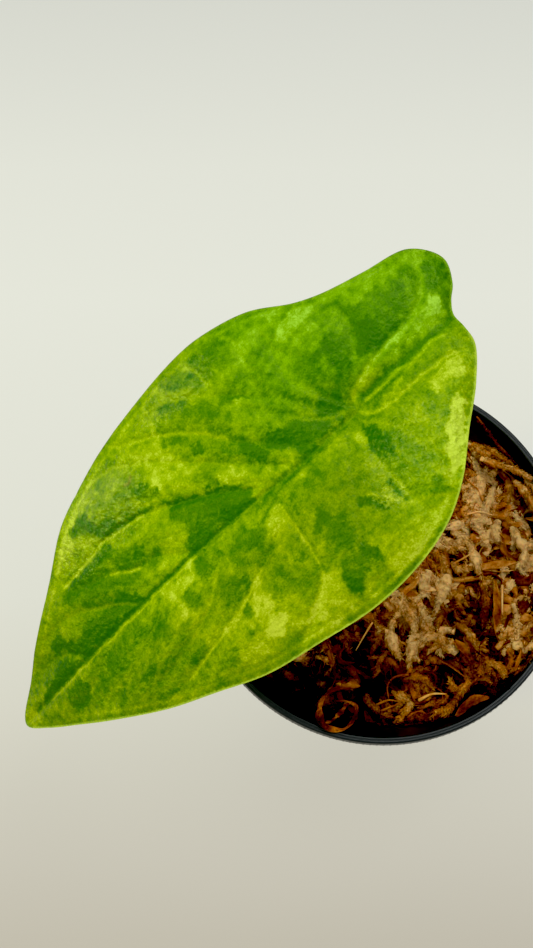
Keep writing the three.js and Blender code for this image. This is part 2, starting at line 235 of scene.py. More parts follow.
# Form: the rise from the midrib, the fall of the sides and the rear, the funnel over the
# stalk, the seam between the rear lobes, and the rolled and waved margin
KEEL_SLOPE = 0.16
KEEL_ROUNDING = 3.0
SIDE_FALL = 0.004
REAR_FALL = 0.0022
FUNNEL_DEPTH = 2.2
FUNNEL_REACH = 7.0
SEAM_DEPTH = 1.9
SEAM_WIDTH = 2.4
MARGIN_ROLL = 1.3
MARGIN_WAVE = 0.45
MARGIN_WAVES = 13
MARGIN_THINNING = 1.2
MARGIN_SHARE = 0.45
# Relief: the net of fine veins, creases over the veins, puckers between them, and what
# stands out below
NET_DEPTH = 0.1
FINE_NET_DEPTH = 0.07
CREASE_WIDTH = 0.75
PUCKER_RISE = 0.55
PUCKER_REACH = 3.4
RELIEF_DROP = 0.45
VEIN_STAND = 0.5
VEIN_WIDTH = 0.8
RIB_DEPTH = 1.3
RIB_WIDTH = 1.3
# The pale vein along the margin
SUBMARGINAL_INSET = 1.9
SUBMARGINAL_WIDTH = 0.4
# Moves the mottling of the lower side, so that it doesn't repeat the upper one
UNDERSIDE_SHIFT = 200
NOTCH = (-28.4, -3.0)
TIP = (109.4, 0.3)
LEFT_LOBE_END = (-34.5, -13.5)
RIGHT_LOBE_END = (-27.7, 4.7)
OUTLINE = [
    NOTCH, (-28.3, 0.6), RIGHT_LOBE_END, (-22.5, 11.3), (-15.8, 17.4), (-7.8, 24.9), (-0.1, 29.6),
    (10.5, 32.7), (23, 33.3), (37, 31.5), (50, 29.3), (62, 25), (74, 20.6), (86, 14.6),
    (96, 9.4), (104, 4.8), TIP, (100, -6.3), (88, -13), (76, -20.4), (66, -25.9),
    (55, -30), (42, -32.5), (28, -34.7), (16, -34.5), (4.5, -31.8), (-4.5, -26),
    (-10, -23.8), (-20, -21.7), (-30, -19.5), LEFT_LOBE_END, (-32.6, -8.3), (-30, -5.6),
]

# Veins as (depth of the crease on the upper face, points from the base of the vein outwards)
VEINS = [
    (0.55, [(0, 0), (16, 1.1), (27, 0.6), (45, 0.2), (78, 0.3), (98, 0.4), (108, 0.1)]),
    (0.35, [(-0.4, -1.8), (-5, -4.7), (-10, -5.6), (-16, -6.6), (-20, -7.6), (-24, -8.8), (-27, -12),
        (-28, -15.5), (-27, -18.5)]),
    (0.35, [(-0.4, -1), (-2, 2.3), (-5, 3.3), (-9, 3.8), (-14, 3.4), (-20, 3.3), (-24, 4.4)]),
    (0.25, [(-1.1, -2), (-4, -5.5), (-7, -9), (-9.5, -13), (-10.5, -16.5), (-8.5, -21)]),
    (0.22, [(1, -3), (4, -9), (6.5, -14), (5.5, -18), (5, -25)]),
    (0.25, [(3, -2), (9, -9), (13.5, -16), (12, -21), (11, -25), (10.8, -28), (12.5, -31)]),
    (0.22, [(6, -3), (14, -12), (21, -22), (20.3, -27.5), (23, -32)]),
    (0.3, [(3, -2.5), (11, -12.8), (21.3, -22.6), (31.1, -29.1), (38.8, -30.6)]),
    (0.3, [(12, -1), (24, -12.5), (30.5, -20.3), (40, -26.4), (46, -29.5)]),
    (0.3, [(18, -0.5), (32.3, -13.5), (43, -22.6), (53.7, -27.6), (60, -27.8)]),
    (0.45, [(26.6, -1.4), (33, -6), (42, -10.5), (52, -14.5), (62, -15.6), (75.6, -15)]),
    (0.3, [(46.4, -0.3), (53.7, -5.4), (59, -6.3), (64.5, -9.5), (74, -12.5)]),
    (0.25, [(62.9, 0.2), (68.8, -3.7), (74.9, -7.5), (82.1, -9.8), (89, -9.6)]),
    (0.2, [(82.5, -0.5), (86, -3.5), (90, -5), (96, -5.5)]),
    (0.25, [(-0.6, 2.2), (-3.8, 7.2), (-5.7, 11), (-7.6, 22.8)]),
    (0.25, [(1.2, 0.4), (2.5, 9), (2.8, 14), (2.6, 20), (1.2, 26)]),
    (0.25, [(2.6, 1.6), (7, 7.5), (12.7, 17.7), (16, 22.6), (19, 30)]),
    (0.3, [(21, 2), (24.4, 4.5), (25.1, 15), (26.2, 21), (31, 25.5), (38, 29)]),
    (0.3, [(22, 2.2), (27.5, 8.4), (36, 12.3), (46, 16), (58, 18.2), (64.7, 19.4)]),
    (0.25, [(38, 1), (44.5, 6.5), (51, 11), (60, 14), (70, 15.5)]),
    (0.22, [(56, 0.9), (64, 6), (74, 9.8), (84, 11.2)]),
    (0.2, [(74, 0.9), (82, 4.5), (92, 6.8)]),
]

# Variegation: tone 0 is deep green, 0.45 mid green, 0.75 lime and 1 pale lime.
# The rows marked below paint sheen, a glint and the lit and shaded sides of the midrib groove.
# Areas are (tone, width of the soft edge, corners); streaks are (tone, half width, points).
BASE_TONE = 0.55
# How far the edges of areas wander, and the size of the bends, in millimetres
EDGE_WANDER = 1.7
EDGE_BEND = 2.6
EDGE_FRAY = 0.9
AREAS = [
    (0.48, 2, [(-34, -19), (-8, -24), (5, -31), (12, -34), (12, -5), (0, -2), (-28, -2)]),
    (0.55, 2, [(-28, -1), (-1, 0), (0, 5), (-3, 23), (-15, 19), (-27, 6)]),
    (0.5, 2, [(56, 1), (108, 1), (100, 8), (74, 20), (56, 27)]),
    (0.82, 1.2, [(-7, -23.5), (-3, -25.5), (1, -25), (3.5, -22.5), (2, -20.5), (-7, -21.5)]),
    (0.72, 0.7, [(-31.5, -19), (-28.5, -19), (-27.5, -17), (-29, -15.5), (-32, -15.8)]),
    (0.33, 0.9, [(-33.5, -15.5), (-28.5, -15.5), (-27, -9), (-31, -9.5), (-33.5, -11)]),
    (0.4, 0.8, [(-27.5, -17), (-25, -17.5), (-24, -15), (-25, -11), (-27, -12.5)]),
    (0.22, 1.2, [(-24, -16), (-19, -17.5), (-14, -17), (-11, -19.5), (-10.5, -15), (-9, -11), (-7, -7),
        (-12, -7.2), (-17, -8), (-22, -10), (-24.5, -12)]),
    (0.06, 0.9, [(-16, -12), (-10.5, -14.5), (-9.5, -11), (-7.5, -7.3), (-14, -7.5), (-19, -8.5),
        (-19, -9.6), (-15, -9.3)]),
    (0.55, 0.8, [(-20, -19), (-14, -20), (-13, -17), (-19, -17)]),
    (0.45, 0.7, [(-9.5, -19.5), (-4, -20), (-3.5, -17.5), (-9, -17)]),
    (0.68, 0.8, [(-5, -19), (4, -19), (4, -16), (-4, -15.5)]),
    (0.33, 0.8, [(-9, -13), (-7, -14.5), (-3, -15), (-2, -12), (-3, -8), (-5, -6), (-8, -9.5)]),
    (0.22, 0.8, [(-5, -15), (-2, -14), (-2.5, -8), (-5.5, -7.5)]),
    (0.34, 1.2, [(-2, -15), (4, -15), (4, -5), (0, -3), (-2, -6)]),
    (0.42, 1, [(7, -24), (12, -24), (12, -14), (8, -12), (7, -17)]),
    (0.13, 0.8, [(0.5, -4), (4, -6.5), (8, -4), (9, -1), (1, -1.2)]),
    (0.74, 0.8, [(-28, -8.5), (-16, -6.8), (-4, -4.5), (-1, -2.2), (-12, -3), (-27, -3.2)]),
    (0.88, 0.7, [(-29, -8), (-26, -7.8), (-24.5, -5), (-26, -3.6), (-28.5, -5.5)]),
    (0.5, 0.5, [(-24, -6.8), (-21, -6.6), (-21, -5.6), (-24, -5.6)]),
    (0.55, 1, [(-5, -28), (2, -31), (12, -34), (12, -26), (4, -25), (-3, -24.5)]),
    (0.4, 1, [(10, -33), (22, -33.5), (21, -28), (18, -24), (12, -24.5), (11.5, -28)]),
    (0.26, 0.8, [(22, -29), (26, -31.5), (29, -31), (26, -28.5), (23, -28)]),
    (0.46, 1, [(12, -24), (19, -24), (19, -19), (15, -16.5), (12.5, -19)]),
    (0.27, 0.9, [(26, -27), (31, -28.5), (34, -30), (32, -26), (28, -24), (25.5, -25.5)]),
    (0.26, 0.9, [(20, -19.5), (23, -23), (27, -25), (31, -23), (28, -20.5), (24, -18)]),
    (0.4, 1, [(30, -27), (36, -25), (36, -21), (31, -20), (28, -22)]),
    (0.27, 0.7, [(14.5, -17), (17, -20), (19.5, -21), (21, -19.5), (18, -18), (16, -16)]),
    (0.52, 1, [(22, -17), (30, -19), (31, -13), (28, -10), (24, -10), (23, -13)]),
    (0.35, 0.6, [(25.5, -12), (27, -14.5), (28, -12), (27, -10.5)]),
    (0.72, 1, [(33, -30), (40, -31), (47, -29.5), (43, -26), (36, -24.5)]),
    (0.74, 1.2, [(36, -24), (44, -26), (52, -27), (56, -24), (50, -20), (45, -19), (43, -15), (39, -11),
        (35, -8), (33, -13), (33, -17), (37, -20)]),
    (0.25, 0.6, [(31, -20.5), (33, -21.5), (36, -23), (36.5, -21), (34, -19.5), (31, -18.5)]),
    (0.1, 0.4, [(29.5, -16.5), (30.8, -17.5), (31.3, -15.5), (30, -14), (29.3, -15)]),
    (0.78, 0.5, [(16, -18), (20, -18.5), (20.5, -15.5), (22.7, -14.5), (22.5, -12.5), (21, -11.5),
        (20, -9), (18.5, -8.3), (16.5, -9), (14, -7), (12.5, -8.5), (14.5, -11), (15.5, -14.5)]),
    (0.16, 0.4, [(21.5, -12), (22.8, -11.8), (22.8, -8), (21.8, -5), (20, -5), (19.5, -7),
        (20.5, -9.5)]),
    (0.78, 0.5, [(23.5, -9), (26, -10), (27.5, -8), (31, -10), (32, -8), (31, -5.5), (29, -4),
        (27.5, -2), (25.5, 0), (20, 0), (20.5, -3), (22.5, -5)]),
    (0.45, 0.4, [(22.2, -4.6), (23.3, -4.6), (23.3, -3.2), (22, -3.3)]),
    (0.18, 0.6, [(8, -5.5), (11, -7), (13.5, -7), (16, -9), (18, -8.2), (19.5, -6), (17.5, -4),
        (15, -2.5), (14, -1), (8, -1.2)]),
    (0.66, 0.6, [(15, -3), (18, -4.5), (20.5, -4), (20, -0.5), (14, -0.5)]),
    (0.87, 0.9, [(40.5, -20), (43, -23), (44, -19), (42.5, -16), (40.5, -17.5)]),
    (0.2, 0.6, [(43.5, -17.5), (45, -18.7), (47.5, -18), (48.5, -16.5), (47, -15), (45, -14.5),
        (43.5, -13.5), (43, -15)]),
    (0.2, 0.7, [(42, -13), (45, -13.5), (50, -15.5), (56, -17), (60, -17.5), (60, -15.5), (54, -14.8),
        (50, -14.3), (44, -12)]),
    # painted sheen
    (0.72, 0.8, [(50, -12.5), (56, -14.3), (58, -14), (58, -11), (51, -10)]),
    (0.17, 0.6, [(27, -2), (29, -4.5), (32, -6.2), (36, -8.5), (41, -11.5), (43.5, -11.5), (44.5, -9.5),
        (43.5, -6), (45, -4), (47, -1), (46, 0), (28, 0)]),
    (0.02, 0.5, [(32, -3.8), (35, -4), (36, -2), (33, -1.3)]),
    (0.05, 0.6, [(31, -6), (36, -8), (40, -10.5), (42, -11.5), (42, -10), (38, -8), (35, -6)]),
    (0.66, 0.8, [(43.5, -5.5), (47, -8.5), (51, -10), (54, -8.5), (53, -5), (49, -3), (47, -1),
        (46, -2.5)]),
    (0.32, 0.6, [(50.5, -5.5), (54, -6.8), (57, -5), (56, -3.5), (52, -4)]),
    (0.2, 0.6, [(53.5, -9.5), (56, -10), (58, -8), (54.5, -7)]),
    (0.68, 0.6, [(49, -3.5), (56, -3.5), (60, -4), (62, -2), (60, -0.8), (47.5, -0.6)]),
    # painted sheen
    (0.8, 1.2, [(55, -28), (63, -26.5), (70, -23), (76, -19.5), (75, -17), (68, -18.5), (66, -22),
        (60, -24), (55, -24)]),
    (0.2, 0.8, [(60.5, -23), (63, -24), (66.5, -23), (67, -21), (64, -20), (61, -18), (59, -16),
        (55, -16), (56, -18.5), (60, -20.5)]),
    (0.7, 0.8, [(63, -18.5), (66, -20.5), (71, -20), (76, -18), (78, -16), (64, -15.7)]),
    # painted sheen
    (0.75, 0.7, [(55, -14.8), (60, -14.8), (59, -12), (55, -11.5)]),
    (0.2, 0.8, [(60, -14.5), (64, -14.8), (75, -14.5), (79, -12.5), (77, -10.5), (70, -11), (63, -12),
        (59, -11.5)]),
    (0.05, 0.6, [(61, -13.5), (65, -14.3), (65, -12.5), (61, -12)]),
    (0.36, 1, [(57, -11), (65, -11.5), (78, -10.5), (74, -8), (66, -7), (58, -8)]),
    (0.68, 0.6, [(57, -5), (60, -5.8), (62, -4.5), (62.5, -2), (58, -1), (56, -2)]),
    (0.1, 0.6, [(61.5, -0.3), (62, -3), (66, -4.5), (68, -3.5), (71, -4.8), (77, -5.2), (81, -3.8),
        (83, -5), (85, -8.5), (88, -8.5), (90, -6.5), (87, -5), (84.5, -2.5), (83, -0.4)]),
    (0.02, 0.6, [(69, -2.5), (76, -4.5), (80, -3.5), (82, -2.5), (82, -0.8), (70, -0.8)]),
    (0.66, 0.7, [(71, -5.3), (75, -8), (79, -9.5), (83, -9), (84.5, -7.5), (83.5, -5.2), (81, -5),
        (77, -6)]),
    (0.58, 0.9, [(80, -16), (86, -12.5), (94, -7.5), (100, -4), (97, -3), (90, -7.5), (84, -10),
        (78, -11), (78, -14)]),
    (0.58, 0.6, [(90, -5.5), (93, -6.5), (97, -4), (103, -1.5), (97, -1.3), (92.5, -2.2)]),
    (0.08, 0.5, [(84, -0.5), (87, -3.5), (90, -4), (93, -2), (99, -1.2), (104, -0.5), (100, 0.2),
        (84, -0.2)]),
    (0.36, 0.5, [(8, 0.2), (22, 0.3), (28, 1), (30, 3), (27, 2.5), (23, 1.7), (10, 1.6)]),
    (0.73, 0.8, [(2, 1.2), (8, 1.8), (20, 2.4), (24, 4), (24.5, 20), (18, 12), (15.5, 19), (14.5, 27),
        (15, 32), (3, 31), (0, 28), (3, 21), (3, 12), (2, 6)]),
    (0.74, 0.7, [(25, 4), (28, 5), (30.5, 9), (30, 15), (28, 20), (26, 19), (25.3, 12)]),
    (1.0, 0.3, [(16.5, 2.9), (17.3, 2.8), (17.7, 3.3), (17.3, 3.9), (16.5, 3.8)]),
    (0.3, 0.4, [(21, 5.5), (22.5, 6), (23.3, 9), (22, 8.5)]),
    (0.26, 0.6, [(17.5, 12), (19, 11), (21, 12), (23, 14), (22, 15), (20, 13.8), (17.5, 14)]),
    (0.4, 0.8, [(15, 14), (18, 14.5), (21, 16), (22.5, 20), (22, 23), (19, 22), (17, 20), (15.5, 18)]),
    (0.17, 0.5, [(14, 24), (16, 21.5), (18, 22), (21, 22), (22.5, 24), (23.5, 27), (24.3, 30), (21, 30),
        (19.5, 27.5), (17, 26), (15, 28.5), (13.8, 26)]),
    (0.02, 0.4, [(13.9, 24.5), (16, 23.5), (17, 24.8), (15.3, 28), (14, 26.5)]),
    (0.1, 0.4, [(20, 24), (22, 24), (23.5, 27), (24, 30), (21, 29.5), (20, 27)]),
    (0.5, 0.6, [(15, 28.5), (17.5, 26), (20, 28), (20, 31), (15, 32)]),
    (0.8, 0.8, [(24, 22), (27, 21.5), (31, 24.5), (37, 28), (40, 30), (33, 31), (25, 31), (24.7, 28),
        (23.5, 25)]),
    (0.48, 0.8, [(26, 19), (30, 19), (33, 22), (36, 25), (31, 24), (27, 21.5)]),
    (0.33, 0.9, [(30, 3.5), (36, 3), (40, 5.5), (40, 9), (36, 12), (31.5, 10), (30.5, 7)]),
    (0.08, 0.5, [(32, 6), (35, 5.5), (36, 7.5), (34, 8.7), (32, 7.5)]),
    (0.6, 0.5, [(29, 1.5), (34, 2), (34, 3.5), (31, 5), (29, 3.5)]),
    (0.28, 0.4, [(41, 1.5), (42.5, 1.5), (42.5, 5), (41, 4.5)]),
    (0.2, 0.4, [(44, 1.5), (47.5, 2), (47.5, 4.5), (47, 6.5), (45, 5)]),
    (0.82, 0.7, [(47.5, 1), (56, 1.2), (66, 1.3), (66, 4), (60, 5.5), (52, 5), (49, 4.5)]),
    (0.4, 0.9, [(38, 10), (44, 8), (50, 10), (56, 13), (50, 15), (42, 13.5)]),
    (0.18, 0.4, [(39, 11), (41, 11), (41, 13.5), (39.5, 13)]),
    (0.3, 0.6, [(50.5, 5), (54, 5.5), (54, 9), (51, 9.5), (50, 7)]),
    (0.6, 0.8, [(30.5, 11), (33, 12), (37, 13), (39, 15), (38, 18), (34, 18), (31, 15)]),
    (0.28, 0.4, [(31.5, 15), (32.5, 14.7), (33, 16), (32, 16.3)]),
    (0.34, 0.4, [(27, 15), (28.5, 15.5), (28, 17), (27, 16.5)]),
    (0.34, 0.6, [(35, 16), (36.5, 18), (38, 19), (37.5, 20), (35.5, 19.5), (34.5, 17.5)]),
    (0.8, 0.8, [(38, 13.5), (42, 15), (43, 15), (42.8, 20), (44, 24), (41, 26), (38, 23), (37.8, 18)]),
    (0.28, 0.4, [(43, 15.5), (44.8, 15.5), (44.5, 18), (43, 17.5)]),
    (0.72, 1, [(44, 18), (56, 19), (60, 21), (55, 25), (46, 27), (43, 23)]),
    (0.38, 0.5, [(45, 19.5), (48, 20), (47.5, 22), (45, 21.5)]),
    (0.38, 0.5, [(51.5, 21), (54.5, 22), (54.5, 24), (52, 23)]),
    (0.5, 0.6, [(36, 28.8), (45, 28), (56, 26), (70, 21), (69, 20), (56, 25), (45, 27.3)]),
    (0.48, 0.6, [(-24, 0), (-2, 0.3), (-3, 2), (-8, 3.3), (-20, 3), (-24, 2)]),
    (0.7, 0.5, [(-12, 1.2), (-8, 1.5), (-5, 2.5), (-10, 3)]),
    (0.86, 0.8, [(-24, 4), (-16, 5), (-13, 8), (-16, 9), (-22, 8.5), (-24, 6)]),
    (0.46, 1, [(-14, 5), (-9, 5.5), (-4, 6), (-2, 9), (-3, 15), (-6, 20), (-10, 16), (-14, 12.5),
        (-15, 9)]),
    (0.05, 0.6, [(-1, 4), (1, 3.2), (1.8, 5), (1.6, 8), (2.3, 10), (1, 12), (0.5, 13.5), (-1, 13),
        (-1.7, 11), (-2.2, 8)]),
    (0.33, 0.8, [(-5, 10), (-2.5, 8), (-2, 14), (-4, 18), (-5.5, 15)]),
    (0.4, 0.8, [(-3.5, 14), (3, 14), (3, 21), (0, 23), (-4, 24.5), (-5, 22)]),
    (0.2, 0.5, [(-5, 22), (-3, 21), (0, 23.5), (-2, 25), (-4.5, 24.5)]),
    (0.22, 0.4, [(3, 15), (4.2, 15.5), (4.4, 20), (3.5, 21.5), (2.9, 19)]),
    (0.16, 0.4, [(9, 15.3), (11, 15), (12, 16.5), (11.5, 17.3), (9.5, 17.8), (8.8, 19.7), (7.6, 19.8),
        (7.8, 17.6), (9, 17)]),
    (0.95, 0.6, [(-19, 11), (-15.5, 12), (-12.5, 14.8), (-8.5, 18.8), (-7, 21), (-7.3, 23), (-9, 23.5),
        (-13.5, 19.5), (-17.5, 14.5)]),
    (0.31, 0.5, [(69, 2), (72, 2.2), (72, 6), (70, 4.5)]),
    (0.31, 0.5, [(76, 2.5), (79, 3), (78.5, 5.5), (76, 6)]),
    (0.18, 0.7, [(87, 2.5), (92, 1.8), (94, 4), (94, 7), (91, 8.5), (88, 7), (86, 4.5)]),
    (0.34, 0.6, [(82, 4.5), (86, 5.5), (86, 8), (82.5, 8)]),
    (0.6, 0.9, [(66, 5), (76, 8), (85, 9.5), (92, 9), (86, 12.5), (80, 12), (72, 10), (66, 9)]),
    (0.18, 0.5, [(69, 11.3), (75, 12), (75, 13.5), (69.5, 13.2)]),
    (0.31, 0.5, [(79, 9.8), (82, 10), (81.5, 12.5), (79, 12)]),
    (0.76, 0.8, [(55, 6), (62, 7), (61, 9), (57, 10), (55, 9)]),
    (0.31, 0.6, [(56, 14), (60, 15.5), (62, 18), (57, 17)]),
    (0.34, 0.6, [(64, 13), (68, 14), (67, 16), (64, 16)]),
    (0.26, 0.4, [(67, 18.5), (73, 17.2), (74, 18.4), (68, 19.8)]),
    (0.78, 0.5, [(104.5, -2), (109.5, -0.4), (106.5, 3), (104.5, 3)]),
]
STREAKS = [
    # painted sheen along the left margin
    (0.86, 1.1, [(-22, -19.3), (-18, -20.7), (-14, -22), (-10, -22.3)]),
    (0.8, 0.8, [(-28, -18), (-24, -18), (-21, -18.7)]),
    (0.72, 0.5, [(-28.5, -17), (-28.5, -14), (-27.5, -12), (-26, -10.5), (-24, -8.7), (-20, -7.6)]),
    (0.22, 0.9, [(-11.2, -20), (-11.5, -17), (-11, -14)]),
    (0.6, 0.45, [(-9.8, -19.5), (-10.5, -16.5), (-9.6, -13.5), (-7.5, -9.5), (-5, -6.5)]),
    (0.72, 0.35, [(-10, -17), (-5.5, -16.8)]),
    (0.68, 1.1, [(5.2, -19), (5.8, -15), (5.2, -11), (4.2, -8)]),
    (0.65, 0.7, [(11, -15), (10, -11), (9, -8), (7, -5)]),
    (0.6, 0.5, [(2, -1.5), (6, -3), (10, -6.5), (12, -8.5)]),
    (0.95, 0.45, [(-19, -6.5), (-15, -6.4), (-10, -5.6), (-5, -4.7), (-2.5, -3.8), (-0.8, -2.2)]),
    (0.5, 0.5, [(-15, -5.2), (-9, -4.6)]),
    (0.28, 0.9, [(-27, -2.3), (-22, -1.9)]),
    (0.0, 0.75, [(-22, -1.9), (-16, -1.9), (-8, -1.9), (-3, -1.7)]),
    (0.86, 0.4, [(-24, -0.4), (-20.5, -1.3), (-17, -0.4), (-15, -0.4), (-12, -1.2), (-9, -0.6),
        (-3, -0.8)]),
    (0.85, 0.5, [(-1.5, -27), (0.5, -28), (4, -29.8)]),
    (0.85, 0.3, [(1.7, -26.8), (2, -25.3)]),
    (0.75, 0.4, [(7, -30), (6.8, -27), (8, -25.5)]),
    (0.85, 0.35, [(10.3, -28), (11, -25), (11.8, -21)]),
    (0.7, 0.3, [(13.5, -16.5), (12.5, -19)]),
    (0.8, 0.35, [(10.8, -29.5), (12, -31.2)]),
    (0.92, 0.4, [(20.4, -25), (20.5, -28.5), (21.5, -30.3), (22.7, -31.8)]),
    (0.75, 0.4, [(17, -26.5), (16.5, -24)]),
    # painted sheen
    (0.8, 0.9, [(24.5, -26.8), (27, -28.3), (30, -30)]),
    (0.78, 0.5, [(21, -22.5), (26, -26.2), (31, -29), (36, -30.5)]),
    (0.86, 0.45, [(24.5, -13.5), (27, -17), (30.5, -20.3), (35.3, -24), (40, -26.4), (45, -29)]),
    (0.9, 0.5, [(43, -22.6), (47.7, -25.8), (53, -27.4), (58, -27.6)]),
    (1.0, 0.45, [(50, -13.8), (56, -15), (62, -15.6), (69, -15.2), (76, -15)]),
    (1.0, 0.4, [(58, -6), (60, -6.8), (62, -8.2), (64.5, -9.5)]),
    (0.62, 0.4, [(62.9, 0.2), (66, -2.4), (70, -4.8), (75, -7.6), (81, -9.6)]),
    (0.03, 0.5, [(82.5, -1.2), (84, -3.4), (85.7, -6)]),
    # painted shade and painted light: the dark line and the pale one beside it are the shaded and lit
    # sides of the midrib groove
    (0.05, 0.45, [(28, 0.1), (45, -0.2), (60, -0.2), (75, -0.1), (90, 0.1), (100, 0.3)]),
    (0.97, 0.33, [(46, 0.75), (60, 0.8), (75, 0.8), (88, 0.95), (98, 0.9)]),
    (0.1, 0.4, [(17, 1.6), (23, 2.1), (25, 3), (27.5, 4), (29.5, 5)]),
    (0.3, 0.35, [(8, 1.4), (14, 1.6), (18, 1.6)]),
    (0.28, 0.9, [(10, 32), (14, 32.3), (19, 32.2)]),
    (0.97, 0.3, [(24.6, 4.5), (24.8, 10), (25, 15), (25.7, 19.3)]),
    (0.95, 0.35, [(26.2, 21), (27.5, 23.2), (31, 25.2), (35, 27.3), (38.3, 29)]),
    # painted sheen
    (0.75, 0.45, [(44, 5.5), (46, 7.5), (48.5, 9.3), (51, 10.8), (55, 12.5), (59, 13.6)]),
    (0.92, 0.4, [(36, 12.3), (42, 14.6), (46, 15.8), (50, 17), (58, 18.2), (64.7, 19.3)]),
    (0.97, 0.5, [(45.5, 16.6), (48.5, 17.4)]),
    (0.48, 0.5, [(38, 30.3), (45, 29), (52, 27.5)]),
    (0.2, 0.35, [(-12, 0.2), (-8, 0.2), (-3, 0.1)]),
    (0.9, 0.4, [(-23, 3.7), (-18, 3.4), (-12, 3.4), (-7, 3.7), (-4, 3), (-2, 2), (-0.5, 0.8)]),
    (0.7, 0.3, [(-1, 3.5), (-3.8, 7), (-5.7, 11), (-6.5, 16)]),
    (0.87, 0.5, [(2.7, 9.5), (3, 12), (2.8, 15), (2.3, 18), (2.6, 20)]),
    # painted highlight: a line of glints on a vein
    (1.0, 0.22, [(8.7, 15), (7, 17), (5.2, 19.8), (4.2, 20.3)]),
    (0.38, 0.35, [(3, 2), (5.2, 4), (7, 7.5), (9.3, 12)]),
    # painted sheen along the right margin
    (0.9, 1.2, [(-3, 26), (1, 27), (5, 28.7), (10, 29.5)]),
    (0.38, 0.7, [(-1, 29), (2, 30), (6, 31)]),
]
# Broad lighter and darker zones: (change of tone, centre, reach along s and t)
ZONES = [
    (-0.2, (15, -7), (11, 8)), (-0.22, (15, 10), (12, 9)), (-0.1, (-2, 0), (7, 4)),
    (0.1, (8, -24), (9, 5)), (0.1, (33, -24), (16, 5)), (0.12, (-17, -17), (9, 5)),
    (0.14, (-7, 14), (6, 7)), (0.1, (17, 30), (9, 4)), (-0.14, (62, 5), (6, 6)),
    (-0.14, (62, -5), (7, 4)), (0.1, (50, 16), (10, 7)), (-0.08, (78, 14), (10, 6)),
    (0.1, (35, 23), (9, 5)), (0.12, (58, -20), (9, 5)), (0.08, (85, 3), (8, 5)),
    (-0.16, (22, -15), (6, 4)), (-0.12, (25, -5), (5, 4)), (-0.12, (12, 20), (6, 6)),
    (-0.16, (30, 15), (6, 6)), (-0.12, (40, 29), (6, 3)), (-0.12, (54, 20), (7, 3)),
    (0.14, (-20, -14), (8, 4)), (0.12, (12, -26), (9, 3)), (0.2, (46, -16), (4, 4)),
    (-0.1, (52, -21), (9, 7)),
    (0.14, (-10, 10), (4, 4)), (0.2, (0, 20), (4, 5)), (0.12, (90, 4), (10, 3)),
    (-0.1, (82, 0), (24, 14)), (-0.1, (10, 18), (14, 12)), (-0.08, (44, -27), (12, 5)),
    (-0.12, (15, -25), (4, 4)), (0.1, (65, -23), (8, 4)), (0.14, (-25, -20), (4, 3)),
    (-0.1, (45, -20), (6, 3)), (-0.12, (15, -15), (4, 3)), (0.14, (45, -14), (3, 3)),
    (-0.12, (55, -14), (5, 4)), (-0.16, (75, -15), (4, 3)), (0.12, (0, -10), (4, 3)),
    (-0.1, (25, -10), (3.5, 3)), (-0.14, (32, -10), (4, 3)), (0.12, (14, -5), (4, 3)),
    (-0.12, (62, -5), (6, 3)), (-0.18, (93, -5), (7, 3)), (-0.1, (0, 0), (6, 3)),
    (-0.14, (18, 5), (6, 3)), (-0.1, (43, 4), (5, 4)), (-0.16, (63, 6), (6, 4)),
    (-0.14, (78, 5), (9, 4)), (0.1, (36, 11), (4, 4)), (-0.12, (45, 15), (4, 4)),
    (-0.18, (60, 15), (4, 4)), (0.2, (-5, 24), (4, 3)), (0.24, (20, 25), (3, 3)),
    (-0.14, (20, -27), (4, 4)), (-0.15, (0, -15), (5, 3)), (0.12, (-15, -8), (5, 4)),
    (-0.14, (57, -8), (6, 4)), (-0.16, (68, -10), (5, 3)), (-0.2, (73, -5), (5, 3)),
    (-0.12, (10, 5), (4, 3)), (-0.12, (45, 10), (4, 3)), (-0.12, (25, 20), (4, 3)),
    (0.1, (42, 25), (8, 3)), (0.1, (8, 30), (8, 3)), (-0.12, (55, 20), (5, 3)),
]
# Where the skin is crinkled and glossy: (share, centre, reach along s and t)
GLOSS = [
    (1.0, (55, -21), (12, 9)), (0.8, (27, -29), (12, 5)), (0.5, (-4, 13), (14, 9)),
    (0.6, (5, 18), (5, 4)), (0.7, (67, -18), (8, 6)),
]
BROWN_MARK = [(46.2, -21.8), (47.2, -20.9), (48.3, -21.2)]

